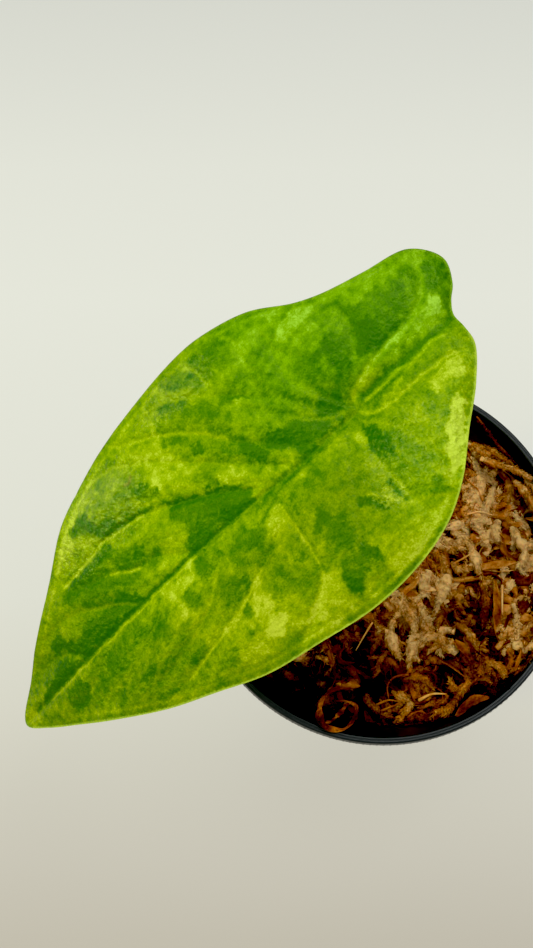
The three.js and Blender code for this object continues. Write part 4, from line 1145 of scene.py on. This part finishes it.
def make_pot():
    """The turned wall, with a knurled band round its lip, closed by a floor."""
    around = KNURL_COUNT * KNURL_STEPS
    turn = full_turn(around)
    rings = np.array(pot_profile()[1:-1])
    over_foot = rings[:, 1] - LIP_FOOT
    knurled = (over_foot > KNURL_BAND[0]) & (over_foot < KNURL_BAND[1])
    knurled &= rings[:, 0] > LIP_RADIUS - 0.05
    groove = KNURL_DEPTH * (0.5 - 0.5 * np.cos(turn * KNURL_COUNT))
    radius = rings[:, :1] - knurled[:, None] * groove + KNURL_STAND * knurled[:, None]
    height = np.broadcast_to(rings[:, 1:], radius.shape)
    points = np.stack([radius * np.cos(turn), radius * np.sin(turn), height], 2).reshape(-1, 3)
    points = np.vstack([points, (0, 0, 0), (0, 0, FLOOR_THICKNESS)])
    a, b = cell_corners(len(rings), around)
    faces = np.stack([a, b, b + around, a + around], 1).tolist()
    low = len(rings) * around
    last = low - around
    for k in range(around):
        follow = (k + 1) % around
        faces.append([low, follow, k])
        faces.append([low + 1, last + k, last + follow])
    pot = piece("pot_moulded", points, faces, pot_material(), "pot")
    cut_drain_slots(pot)


def cut_drain_slots(pot):
    """Cut a box out of the wall's foot for each slot."""
    heap = Heap()
    corner = np.array([(x, y, z) for z in (-1, 1) for y in (-1, 1) for x in (-1, 1)])
    walls = [(0, 2, 3, 1), (4, 5, 7, 6), (0, 1, 5, 4), (2, 6, 7, 3), (0, 4, 6, 2), (1, 3, 7, 5)]
    for i in range(DRAIN_SLOTS):
        turn = (i + 0.5) / DRAIN_SLOTS * 2 * math.pi
        box = corner * DRAIN_SIZE / 2 * (DRAIN_STRETCH, 1, 1) + (BASE_RADIUS, 0, 0)
        x = box[:, 0] * math.cos(turn) - box[:, 1] * math.sin(turn)
        y = box[:, 0] * math.sin(turn) + box[:, 1] * math.cos(turn)
        heap.add(np.stack([x, y, box[:, 2]], 1), walls)
    mesh = bpy.data.meshes.new("slots")
    mesh.from_pydata((np.vstack(heap.points) * MM).tolist(), [], heap.faces_list())
    slots = bpy.data.objects.new("slots", mesh)
    bpy.context.scene.collection.objects.link(slots)
    cut = pot.modifiers.new("slots", "BOOLEAN")
    cut.operation = "DIFFERENCE"
    cut.solver = "MANIFOLD"
    cut.object = slots
    bpy.context.view_layer.objects.active = pot
    bpy.ops.object.modifier_apply(modifier="slots")
    bpy.data.objects.remove(slots)
    pot.data.set_sharp_from_angle(angle=SHARP_ANGLE)


# Moss

def moss_surface(x, y):
    """Height of the moss, which is banked up against the near right wall."""
    reach = np.minimum(np.hypot(x, y) / inner_wall_radius(MOSS_EDGE), 1)
    along = (x * DIP_DIRECTION[0] + y * DIP_DIRECTION[1]) / LIP_RADIUS
    lumps = np.sin(x * 0.31 + 1) * np.cos(y * 0.27) + 0.7 * np.sin(x * 0.17 - y * 0.23)
    return (MOSS_EDGE + MOSS_MOUND * (1 - reach * reach) - MOSS_DIP * smooth(along, 0, 1)
            + MOSS_LUMP * lumps + BANK_RISE * bank_share(x, y))


def wall_reach(height):
    """Radius of the inner wall with the sloping guide below the rim."""
    guide = mix(inner_wall_radius(GUIDE_FOOT), CREST_INNER_RADIUS, (height - GUIDE_FOOT) / GUIDE_DEPTH)
    return np.where(height > GUIDE_FOOT, np.minimum(guide, CREST_INNER_RADIUS),
                    inner_wall_radius(height))


def bank_share(x, y):
    """From 0 to 1 towards the near right wall, where the moss is heaped up."""
    return smooth(BANK_DIRECTION[0] * x + BANK_DIRECTION[1] * y, *BANK_SPAN)


def kept_in_pot(points):
    """Points pushed in from the pot's wall and out from the stalk."""
    radius = np.hypot(points[:, 0], points[:, 1]) + 1e-9
    wall = np.where(points[:, 2] > POT_HEIGHT, LIP_RADIUS, wall_reach(points[:, 2]) - WALL_GAP)
    held = np.minimum(np.clip(radius, STALK_HOLE, None), wall)
    kept = points.copy()
    kept[:, :2] *= (held / radius)[:, None]
    return kept


def make_moss_bed(material):
    """The solid core under the loose strands: a foot ring and a fuzzy top."""
    part = np.linspace(1, 0.02, CORE_RINGS)[:, None]
    turn = full_turn(CORE_SIDES)
    top_radius = inner_wall_radius(MOSS_EDGE - MOSS_DIP) - WALL_GAP
    radius = part * top_radius * np.ones(CORE_SIDES)
    x = radius * np.cos(turn)
    y = radius * np.sin(turn)
    fuzz = fine_noise(x / 2.2, y / 2.2, 5, 4)
    z = moss_surface(x, y) - CORE_DROP + CORE_FUZZ * fuzz
    spread = mix(1, (wall_reach(z) - WALL_GAP) / top_radius, part ** 4)
    top = np.stack([x * spread, y * spread, z], 2).reshape(-1, 3)
    bottom = FLOOR_THICKNESS + WALL_GAP
    foot_radius = inner_wall_radius(bottom) - WALL_GAP
    foot = np.stack([foot_radius * np.cos(turn), foot_radius * np.sin(turn),
                     np.full(CORE_SIDES, bottom)], 1)
    # painted shade: the top is near black so that the gaps between strands look deep
    top_tone = CORE_GAP_SHADE + CORE_GAP_SHADE_SWING * fuzz.ravel()
    tone = np.concatenate([np.full(CORE_SIDES, CORE_FOOT_TONE), top_tone])
    faces = tube_faces(CORE_RINGS + 1, CORE_SIDES).tolist()
    piece("moss_bed_core", np.vstack([foot, top]), faces, material, "moss_bed",
          {"tone": tone})


def strand_line(rng, place, heading, length, lift, tilt, steps=9):
    """A bent line lying over the moss, round a place and along a heading."""
    part = np.linspace(0, 1, steps)
    turn = heading + rng.normal(0, STRAND_BEND) * (part - 0.5)
    turn += STRAND_WIGGLE * np.sin(part * 9 + rng.uniform(0, 6))
    step = length / (steps - 1)
    x = np.cumsum(np.cos(turn)) * step
    y = np.cumsum(np.sin(turn)) * step
    x += place[0] - x.mean()
    y += place[1] - y.mean()
    rise = lift + tilt * (part - 0.5) - STRAND_DROOP * abs(tilt) * (part - 0.5) ** 2
    rise += STRAND_RIPPLE * np.sin(part * rng.uniform(6, 14) + rng.uniform(0, 6))
    z = moss_surface(x, y) + rise
    spread = wall_reach(z) / inner_wall_radius(MOSS_EDGE)
    return np.stack([x * spread, y * spread, z], 1)


def add_tuft(heap, rng, line, half_width, tone, leaflets):
    """A woolly branch: a knobbly tapered body under its leaflets and hairs."""
    _, side, out = directions(line)
    rings = len(line)
    part = np.linspace(0, 1, rings)
    taper = np.sqrt(np.clip(np.sin(np.pi * np.clip(part * 0.84 + 0.12, 0, 1)), 0.04, 1))
    taper *= 1 + 0.3 * np.sin(part * rng.uniform(5, 20) + rng.uniform(0, 6))
    taper *= 1 + rng.uniform(-0.25, 0.25, rings)
    turn = full_turn(TUFT_SIDES) + rng.uniform(0, 1)
    knobs = 1 + rng.uniform(-0.2, 0.2, (rings, TUFT_SIDES))
    width = (TUFT_BODY * half_width * taper)[:, None] * knobs
    body = rings_round(line, side, out, width * np.cos(turn), TUFT_FLATNESS * width * np.sin(turn))
    # painted light: the body's upper side is lighter and its underside darker
    shade = tone - 0.02 + 0.14 * np.sin(turn) + rng.uniform(-TONE_SWING, TONE_SWING, (rings, 1))
    heap.add(kept_in_pot(body), tube_faces(rings, TUFT_SIDES), tone=shade.ravel())
    add_leaflets(heap, rng, line, half_width, taper, tone, leaflets)


def add_leaflets(heap, rng, line, half_width, taper, tone, count):
    """Overlapping pointed leaflets, and a few hairs that stand off further, as small wedges."""
    place = rng.uniform(0.02, 0.98, count)
    angle = rng.uniform(-0.5, math.pi + 0.5, count)
    step = place * (len(line) - 1)

    def at(rows):
        return np.stack([np.interp(step, np.arange(len(line)), axis) for axis in rows.T], 1)

    def drawn(low, high):
        return rng.uniform(low, high, (count, 1))

    along, side, out = (at(rows) for rows in directions(line))
    reach = np.interp(place, np.linspace(0, 1, len(line)), taper)[:, None] * half_width
    hair = drawn(0, 1) < HAIR_SHARE
    outward = side * np.cos(angle)[:, None] + 0.75 * out * np.sin(angle)[:, None]
    root = at(line) + outward * reach * drawn(0.5, 0.9)
    lean = np.where(hair, drawn(*HAIR_LEANS), drawn(*LEAFLET_LEANS))
    length = drawn(*LEAFLET_LENGTHS) * (0.6 + 0.5 * half_width)
    drift = rng.normal(0, LEAFLET_DRIFT, (count, 3))
    tip = root + (along * (1.1 - 0.5 * lean) + outward * lean + drift) * length
    half = np.where(hair, HAIR_HALF_WIDTH, drawn(*LEAFLET_HALF_WIDTHS)) * np.cross(outward, along)
    thickness = np.where(hair, HAIR_THICKNESS, LEAFLET_THICKNESS)
    belly = root + (tip - root) * 0.5 + outward * thickness
    points = np.stack([root - half, root + half, belly, tip], 1).reshape(-1, 3)
    base = np.arange(count)[:, None] * 4
    faces = np.vstack([base + row for row in ((0, 3, 1), (1, 3, 2), (2, 3, 0), (0, 1, 2))])
    shade = tone + np.array(LEAFLET_TONES) + drawn(-TONE_SWING, TONE_SWING)
    # painted light: leaflets on the strand's upper side are lighter, those below darker
    shade += 0.24 * np.sin(angle)[:, None] - 0.14
    heap.add(kept_in_pot(points), faces, tone=shade.ravel())


def add_scrap(heap, rng, line, half_width, tone):
    """A dry, creased strip of leaf or sheath."""
    _, side, out = directions(line)
    rings = len(line)
    part = np.linspace(0, 1, rings)
    across, face = twisted(side, out, rng.uniform(-1.2, 1.2) + rng.uniform(-1.8, 1.8) * part)
    taper = np.clip(np.sin(np.pi * (part * 0.9 + 0.05)), 0.12, 1) ** 0.7
    width = half_width * taper * (1 + rng.uniform(-0.15, 0.15, rings))
    cup = rng.uniform(0.15, 0.6)
    upper = [line + across * (place * width)[:, None] + face * (level * cup * width)[:, None]
             for place, level in SCRAP_SECTION]
    lower = [column - face * SCRAP_THICKNESS for column in reversed(upper)]
    points = np.stack(upper + lower, 1)
    sides = points.shape[1]
    shade = tone + rng.uniform(-0.14, 0.14, (1, sides))
    shade = shade + rng.uniform(-TONE_SWING, TONE_SWING, (rings, sides))
    points += rng.uniform(-0.07, 0.07, points.shape)
    heap.add(kept_in_pot(points.reshape(-1, 3)), tube_faces(rings, sides), tone=shade.ravel())


def add_straw(heap, line, half_width, tone):
    """A thin stiff fibre."""
    _, side, out = directions(line)
    turn = full_turn(STRAW_SIDES)
    taper = (1 - 0.6 * np.linspace(0, 1, len(line)))[:, None] * half_width
    points = rings_round(line, side, out, taper * np.cos(turn), taper * np.sin(turn))
    heap.add(kept_in_pot(points), tube_faces(len(line), STRAW_SIDES), tone=tone)


def moss_painted_shade(x, y):
    """Painted light and shade: the moss is pale towards the upper right, where light falls,
    and dark red-brown towards the lower left, under the leaf's shadow.
    """
    light = smooth(LIGHT_FALL_DIRECTION[0] * x + LIGHT_FALL_DIRECTION[1] * y, *LIGHT_FALL_SPAN)
    noise = fine_noise(np.array([x / 7 + 40]), np.array([y / 7 + 40]), 71, 2)[0]
    shade = mix(PAINTED_SHADOW, PAINTED_LIGHT, light) + SHADE_NOISE * noise
    for change, centre, reach in MOSS_ZONES:
        shade += change * zone_share(x, y, centre, reach, 0.5, 1.4)
    return shade


def clumps(rng, count, members):
    """Places and headings for strands that lie together in small clumps."""
    reach = inner_wall_radius(MOSS_EDGE)
    for _ in range(count):
        distance = reach * math.sqrt(rng.uniform(0.012, 1))
        bearing = rng.uniform(0, 2 * math.pi)
        heading = rng.uniform(0, 2 * math.pi)
        tone = rng.normal(0, CLUMP_TONE)
        for _ in range(members):
            x = distance * math.cos(bearing) + rng.normal(0, CLUMP_REACH)
            y = distance * math.sin(bearing) + rng.normal(0, CLUMP_REACH)
            yield (x, y), heading + rng.normal(0, CLUMP_TURN), tone + moss_painted_shade(x, y)


def placed_line(points, lift):
    """A line over the moss that covers the given points of the plan when seen by the camera."""
    steps = 13
    line, _ = evenly(curve_through(points, 8), steps)
    height = moss_surface(*line.T) + lift + 0.8 * np.sin(np.linspace(0.15, 0.9, steps) * math.pi)
    nearer = (CAMERA_PLACE[2] - height) / (CAMERA_PLACE[2] - PLAN_HEIGHT)
    line = CAMERA_PLACE[:2] + (line - CAMERA_PLACE[:2]) * nearer[:, None]
    return np.column_stack([line, height])


def side_branch(rng, line, place):
    """A short bent line that leaves a strand at one of its points."""
    ahead = line[place + 1] - line[place - 1]
    heading = math.atan2(ahead[1], ahead[0]) + rng.choice([-1, 1]) * rng.uniform(0.5, 1.4)
    part = np.linspace(0, 1, 8)
    turn = heading + rng.uniform(-1.2, 1.2) * part
    reach = rng.uniform(*SIDE_BRANCH_LENGTHS) * part
    x = line[place, 0] + reach * np.cos(turn)
    y = line[place, 1] + reach * np.sin(turn)
    return np.stack([x, y, line[place, 2] - SIDE_BRANCH_FALL * reach], 1)


def make_moss():
    material = moss_material()
    make_moss_bed(material)
    for layer in MOSS_LAYERS:
        make_moss_layer(material, *layer)
    make_placed_moss(material)
    make_scraps_and_straws(material)
    make_curled_sheath(material)


def make_moss_layer(material, name, seed, count, members, lengths, widths, lifts, tones, leaflets):
    """One piece of many clumped strands, for a row of MOSS_LAYERS."""
    rng = np.random.default_rng(seed)
    heap = Heap()
    for place, heading, shade in clumps(rng, count, members):
        line = strand_line(rng, place, heading, rng.uniform(*lengths), rng.uniform(*lifts),
                           rng.uniform(-3, 3))
        add_tuft(heap, rng, line, rng.uniform(*widths), rng.uniform(*tones) + shade, leaflets)
    heap.piece(name, material, "moss", "moss_bed")


def make_placed_moss(material):
    """The strands that stand out: branched ones on top, and those banked against the wall."""
    rng = np.random.default_rng(35)
    heap = Heap()
    for half_width, tone, points in MOSS_TUFTS:
        line = placed_line(points, TUFT_LIFT)
        _, length = evenly(line, 2)
        # painted light and shade of the moss is added to each strand's tone
        tone = 1.2 * tone - 0.09 + 0.7 * moss_painted_shade(*np.mean(points, 0))
        add_tuft(heap, rng, line, half_width, tone, int(20 + 16 * length))
        for place in rng.integers(2, len(line) - 2, SIDE_BRANCHES):
            branch = side_branch(rng, line, place)
            add_tuft(heap, rng, branch, 0.7 * half_width, tone + rng.uniform(-0.14, 0.1),
                     SIDE_BRANCH_LEAFLETS)
    for half_width, tone, points in MOSS_BANK:
        line, length = evenly(curve_through(points, 8), 15)
        share = bank_share(line[:, :1], line[:, 1:2])
        line = line * (1 + share * (BANK_SPREAD, BANK_SPREAD, 0)) + share * (0, 0, BANK_LIFT)
        tone = tone - 0.07 + 0.6 * moss_painted_shade(*np.mean(points, 0)[:2])
        add_tuft(heap, rng, line, half_width, tone, int(26 + 14 * length))
    heap.piece("moss_placed", material, "moss", "moss_bed")


def make_scraps_and_straws(material):
    """Loose strips and fibres strewn over the moss, and those that stand out."""
    rng = np.random.default_rng(34)
    scraps = Heap()
    for place, heading, shade in clumps(rng, 150, 2):
        line = strand_line(rng, place, heading, rng.uniform(6, 15), rng.uniform(0.6, 3.2),
                           rng.uniform(-4, 4), steps=11)
        add_scrap(scraps, rng, line, rng.uniform(0.4, 1.4), rng.uniform(0.3, 0.56) + shade)
    for half_width, tone, points in MOSS_SCRAPS:
        add_scrap(scraps, rng, placed_line(points, SCRAP_LIFT), 0.8 * half_width, tone - 0.05)
    scraps.piece("moss_scraps", material, "moss", "moss_bed")
    straws = Heap()
    for place, heading, shade in clumps(rng, 60, 1):
        line = strand_line(rng, place, heading, rng.uniform(5, 13), rng.uniform(1, 3),
                           rng.uniform(-3, 3))
        add_straw(straws, line, rng.uniform(0.2, 0.4), rng.uniform(0.35, 0.75) + shade)
    for half_width, tone, points in MOSS_STRAWS:
        add_straw(straws, placed_line(points, STRAW_LIFT), half_width, tone)
    straws.piece("moss_straws", material, "moss", "moss_bed")


def make_curled_sheath(material):
    """A dry brown sheath that has curled into a loop against the near wall."""
    heap = Heap()
    for route, broad, thin in ((SHEATH_LOOP, 1.0, 0.4), (SHEATH_SPUR, 0.7, 0.4)):
        add_sheath(heap, route, broad, thin)
    heap.piece("curled_sheath", material, "moss", "moss_bed")


def add_sheath(heap, route, broad, thin):
    """A creased gutter of dry skin along a route."""
    line, _ = evenly(curve_through(route, 12), 90)
    _, side, out = directions(line)
    part = np.linspace(0, 1, len(line))
    width = mix(broad, thin, part) * (1 + 0.35 * np.sin(part * 17) + 0.2 * np.sin(part * 47))
    width = width[:, None]
    across, face = twisted(side, out, 0.6 * np.sin(part * 9) + 0.5)
    turn = full_turn(CURL_SIDES)
    hollow = 0.5 * np.cos(turn) ** 2
    rise = 0.5 * width * np.sin(turn) + width * hollow
    points = rings_round(line, across, face, width * np.cos(turn), rise)
    rng = np.random.default_rng(36)
    uneven = rng.uniform(-0.12, 0.12, (len(line), CURL_SIDES))
    tone = 0.36 + 0.16 * np.sin(part * 23)[:, None] + uneven
    heap.add(kept_in_pot(points), tube_faces(len(line), CURL_SIDES), tone=tone.ravel())


# Leaf stalk

def make_petiole():
    """The stalk, fluted all along, with the two wings of its sheath wrapped round the base."""
    line, length = evenly(curve_through(PETIOLE_ROUTE, 40), STALK_STEPS)
    _, side, out = directions(line, up=(0.2, -1, 0.1))
    run = np.linspace(0, length, STALK_STEPS)
    part = run / length
    sheath = 1 - smooth(run, 8, SHEATH_LENGTH)
    radius = (mix(STALK_MIDDLE_RADIUS, STALK_TOP_RADIUS, part)
              + (STALK_BASE_RADIUS - STALK_MIDDLE_RADIUS) * sheath
              + STALK_FLARE * smooth(run, length - STALK_FLARE_LENGTH, length))
    turn = full_turn(STALK_SIDES)
    wrap = turn[None, :] - 1.2 - 0.02 * run[:, None]
    away = np.abs((wrap + math.pi) % (2 * math.pi) - math.pi)
    wings = 0.35 * np.exp(-(((away - 0.45) / 0.16) ** 2)) - 0.25 * np.exp(-((away / 0.3) ** 2))
    flutes = 0.035 * np.cos(turn * 9) + 0.02 * fine_noise(turn[None, :] * 3, run[:, None] / 4, 9)
    width = radius[:, None] * (1 + flutes) + wings * smooth(sheath, 0.02, 0.4)[:, None]
    points = rings_round(line, side, out, width * np.cos(turn), width * np.sin(turn))
    tone = 0.2 + 0.4 * smooth(run, 2, 25) + 0.1 * smooth(part, 0.6, 1)
    tone = np.repeat(tone, STALK_SIDES) + 0.25 * (wings * sheath[:, None]).ravel()
    piece("petiole_fluted", points, tube_faces(STALK_STEPS, STALK_SIDES).tolist(),
          petiole_material(), "petiole", {"tone": tone})


# Leaf blade

def blade_outline():
    line = curve_through(OUTLINE, 60, closed=True)
    line, _ = evenly(np.vstack([line, line[:1]]), OUTLINE_STEPS)
    return line[:-1]


def edge_share(s, t, outline):
    """How far out a point lies, from 0 at the seat to 1 on the outline, and its place round it."""
    angle = np.unwrap(np.arctan2(outline[:, 1], outline[:, 0]))
    order = np.argsort(angle)
    reach = np.hypot(outline[:, 0], outline[:, 1])[order]
    around = np.arange(len(outline))[order] / len(outline)
    low = angle[order][0]
    here = (np.arctan2(t, s) - low) % (2 * math.pi) + low
    share = np.hypot(s, t) / np.interp(here, angle[order], reach)
    return np.clip(share, 0, 1), np.interp(here, angle[order], around)


def blade_form(s, t, share, around):
    """The middle surface's height over the bent midrib line, with no veins."""
    keel = KEEL_SLOPE * (np.hypot(t, KEEL_ROUNDING) - KEEL_ROUNDING)
    fall = SIDE_FALL * t * t + REAR_FALL * np.minimum(s, 0) ** 2
    funnel = FUNNEL_DEPTH * np.exp(-(s * s + t * t) / FUNNEL_REACH**2)
    seam_away = distance_to_line(s, t, [(0, -0.9), NOTCH])
    seam = (SEAM_DEPTH * np.exp(-((seam_away / SEAM_WIDTH) ** 2))
            * smooth(-s, 0, 6) * (1 - 0.7 * smooth(-s, 12, 28)) * (s < 0))
    roll = MARGIN_ROLL * smooth(share, 0.7, 1) ** 2
    wave = MARGIN_WAVE * share**4 * np.sin(around * 2 * math.pi * MARGIN_WAVES)
    return keel - fall - funnel - seam - roll + wave


def lateral_frame(s, t):
    """Coordinates that run along and across the side veins, for relief and mottling."""
    sweep = np.interp(s - 0.6 * np.abs(t), [-30, -10, 5, 25, 60], [-1.1, -0.4, 0.25, 1.2, 1.9])
    stretch = np.sqrt(1 + sweep**2)
    return (sweep * s + np.abs(t)) / stretch, (s - sweep * np.abs(t)) / stretch


def blade_relief(s, t, share):
    """Creases along the veins with puckers and a fine net between them, and how far a vein is."""
    nearest = np.full(s.shape, 1e9)
    crease = np.zeros(s.shape)
    for depth, points in VEINS:
        away = distance_to_line(s, t, curve_through(points, 6))
        nearest = np.minimum(nearest, away)
        crease = np.maximum(crease, depth * np.exp(-((away / CREASE_WIDTH) ** 2)))
    along, across = lateral_frame(s, t)
    pucker = PUCKER_RISE * (1 - np.exp(-((nearest / PUCKER_REACH) ** 2)))
    crinkled = 0.25 + 0.75 * smooth(-t, 6, 20) * smooth(s, 15, 40) * (1 - smooth(s, 75, 95))
    crinkled = np.maximum(crinkled, smooth(t, 3, 9) * smooth(-s, 0, 6)) + 0.5 * blade_gloss(s, t)
    net = NET_DEPTH * fine_noise(across / 2.2, along / 3.6, 11, 3)
    net += FINE_NET_DEPTH * fine_noise(s / 1.5, t / 1.5, 15, 2)
    calm = 1 - smooth(share, 0.9, 1)
    return pucker * mix(0.35, 1, calm) + net * crinkled * mix(0.5, 1, calm) - crease, nearest


def blade_gloss(s, t):
    gloss = np.zeros(s.shape)
    for most, centre, reach in GLOSS:
        gloss = np.maximum(gloss, most * zone_share(s, t, centre, reach, 0.5, 1.3))
    return gloss


def blade_tone(s, t):
    """The variegation: areas with ragged edges, zones, fine mottling and streaks, among them
    painted sheen, a painted glint and the painted light and shade of the midrib groove.
    """
    along, across = lateral_frame(s, t)
    shift_s = EDGE_WANDER * fine_noise(s / EDGE_BEND, t / EDGE_BEND, 21, 4, 0.75)
    shift_t = EDGE_WANDER * fine_noise(s / EDGE_BEND, t / EDGE_BEND, 27, 4, 0.75)
    ragged = EDGE_FRAY * fine_noise(s / 1.1, t / 1.1, 33, 3, 0.8)
    tone = np.full(s.shape, BASE_TONE) + 0.06 * fine_noise(s / 9, t / 9, 41)
    for level, soft, corners in AREAS:
        depth = depth_inside(s + shift_s, t + shift_t, corners) + ragged
        tone = mix(tone, level, smooth(depth, -0.8 * soft, 0.8 * soft))
    for change, centre, reach in ZONES:
        tone = tone + change * zone_share(s, t, centre, reach, 0.4, 1.3) * (0.4 + tone)
    mottle = 0.5 * fine_noise(across / 2.2, along / 4, 51, 3)
    mottle = mottle + fine_noise(s / 1.4, t / 1.4, 57, 3, 0.8)
    tone = tone + mottle * (0.1 + 0.6 * tone * (1 - tone))
    for level, half, points in STREAKS:
        away = distance_to_line(s + 0.3 * shift_s, t + 0.3 * shift_t, curve_through(points, 4))
        tone = mix(tone, level, 0.8 * np.exp(-((away / half) ** 2)))
    return np.clip(tone, 0, 1)


def rib_below(s, t):
    """Depth under the blade of the midrib and of the rib into each rear lobe."""
    forward = smooth(s, 3, 9) * mix(1, 0.3, np.maximum(s, 0) / TIP[0])
    ribs = np.where(s > 0, forward * np.exp(-((t / RIB_WIDTH) ** 2)), 0)
    for end in (LEFT_LOBE_END, RIGHT_LOBE_END):
        length = math.hypot(*end)
        run = (s * end[0] + t * end[1]) / length
        away = (s * end[1] - t * end[0]) / length
        rib = smooth(run, 3, 9) * mix(0.9, 0.2, run / length) * np.exp(-((away / RIB_WIDTH) ** 2))
        ribs = np.maximum(ribs, np.where(run > 0, rib, 0))
    return RIB_DEPTH * ribs


def blade_point(s, t, height):
    """Places in the pot's frame, at a height over the midrib's arc."""
    angle = BLADE_SLOPE + s / BEND_RADIUS
    x = BEND_RADIUS * (np.sin(angle) - math.sin(BLADE_SLOPE)) + height * np.sin(angle)
    z = BEND_RADIUS * (np.cos(angle) - math.cos(BLADE_SLOPE)) + height * np.cos(angle)
    turned_x = x * math.cos(BLADE_YAW) - t * math.sin(BLADE_YAW)
    turned_y = x * math.sin(BLADE_YAW) + t * math.cos(BLADE_YAW)
    return np.stack([turned_x, turned_y, z], 1) + SEAT


def blade_web(outline):
    """A web of near-equal triangles over the blade; its first points are the outline."""
    row_gap = BLADE_GRID * math.sqrt(3) / 2
    low = outline.min(0)
    high = outline.max(0)
    rows = np.arange(low[1], high[1], row_gap)
    columns = np.arange(low[0], high[0], BLADE_GRID)
    s, t = np.meshgrid(columns, rows)
    s = s + (np.arange(len(rows)) % 2)[:, None] * BLADE_GRID / 2
    s = s.ravel()
    t = t.ravel()
    rough_ring = [tuple(point) for point in outline[::4]]
    near = depth_inside(s, t, rough_ring) > BLADE_GRID * 0.62
    s = s[near]
    t = t[near]
    ring = len(outline)
    points = [Vector(point) for point in outline.tolist()]
    points += [Vector(point) for point in zip(s.tolist(), t.tolist())]
    edges = [(i, (i + 1) % ring) for i in range(ring)]
    placed, _, faces, *_ = delaunay_2d_cdt(points, edges, [], 1, 1e-6)
    placed = np.array([tuple(point) for point in placed])
    return placed, np.array(faces), ring


def make_blade():
    """The thin blade: one web of points for the upper side and one for the lower."""
    outline = blade_outline()
    web, faces, ring = blade_web(outline)
    s, t = web.T
    share, around = edge_share(s, t, outline)
    relief, nearest = blade_relief(s, t, share)
    middle = blade_form(s, t, share, around) + relief - RELIEF_DROP
    margin = distance_to_line(s, t, np.vstack([outline, outline[:1]])[::3])
    half = BLADE_THICKNESS / 2 * mix(MARGIN_SHARE, 1, smooth(margin, 0, MARGIN_THINNING))
    veins_below = VEIN_STAND * np.exp(-((nearest / VEIN_WIDTH) ** 2))
    top = blade_point(s, t, middle + half)
    bottom = blade_point(s, t, middle - half - rib_below(s, t) - veins_below)
    piece("leaf_blade_veined", np.vstack([top, bottom]), blade_skin(outline, web, faces, ring),
          leaf_material(), "leaf_blade", blade_values(s, t, share, margin, veins_below))


def blade_skin(outline, web, faces, ring):
    """Faces of the upper side, the same turned over below, and the wall between them."""
    count = len(web)
    area = np.cross(web[faces[:, 1]] - web[faces[:, 0]], web[faces[:, 2]] - web[faces[:, 0]])
    faces[area < 0] = faces[area < 0][:, ::-1]
    i = np.arange(ring)
    follow = (i + 1) % ring
    wall = np.vstack([np.stack([i, i + count, follow + count], 1),
                      np.stack([i, follow + count, follow], 1)])
    turns = np.sign(np.cross(outline[1] - outline[0], outline[2] - outline[0]))
    wall = wall if turns > 0 else wall[:, ::-1]
    return np.vstack([faces, faces[:, ::-1] + count, wall]).tolist()


def blade_values(s, t, share, margin, veins_below):
    """What the skin's material reads at each point, for the upper side and then the lower."""
    tone = blade_tone(s, t)
    inset = (margin - SUBMARGINAL_INSET) / SUBMARGINAL_WIDTH
    submarginal = np.exp(-(inset**2)) * smooth(s, -20, 0) * (1 - smooth(s, 85, 100))
    tone = mix(tone, np.minimum(tone + 0.3, 1), 0.6 * submarginal)
    along, across = lateral_frame(s, t)
    # pale margin line: the leaf's own edge, with a painted highlight on the lit right side
    rim = 0.75 * np.exp(-((margin / 0.3) ** 2)) * np.where(t > 2, 1, 0.25)
    flat = np.zeros(len(s))
    sides = {
        "tone": (tone, np.clip(tone + 0.25 * veins_below, 0, 1)),
        "rim": (rim, rim),
        "brown": (0.6 * np.exp(-((distance_to_line(s, t, BROWN_MARK) / 0.35) ** 2)), flat),
        "olive": (np.maximum(0.6 * smooth(s, 55, 100), 0.5 * smooth(t, 2, 12) * smooth(s, -2, 12)),
                  flat),
        "fresh": (0.85 * (1 - smooth(s, 5, 30)) * smooth(-t, -4, 6) * smooth(share, 0.1, 0.4), flat),
        "gloss": (blade_gloss(s, t), flat),
        "under": (flat, flat + 1),
        "cross": (across, across),
        "along": (along, along),
        "s": (s, s + UNDERSIDE_SHIFT),
        "t": (t, t),
    }
    return {label: np.concatenate(pair) for label, pair in sides.items()}


def finish_corm():
    material = corm_material()
    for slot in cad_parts["corm_with_roots"].material_slots:
        slot.material = material


make_camera()
make_studio()
make_pot()
make_moss()
make_petiole()
make_blade()
finish_corm()
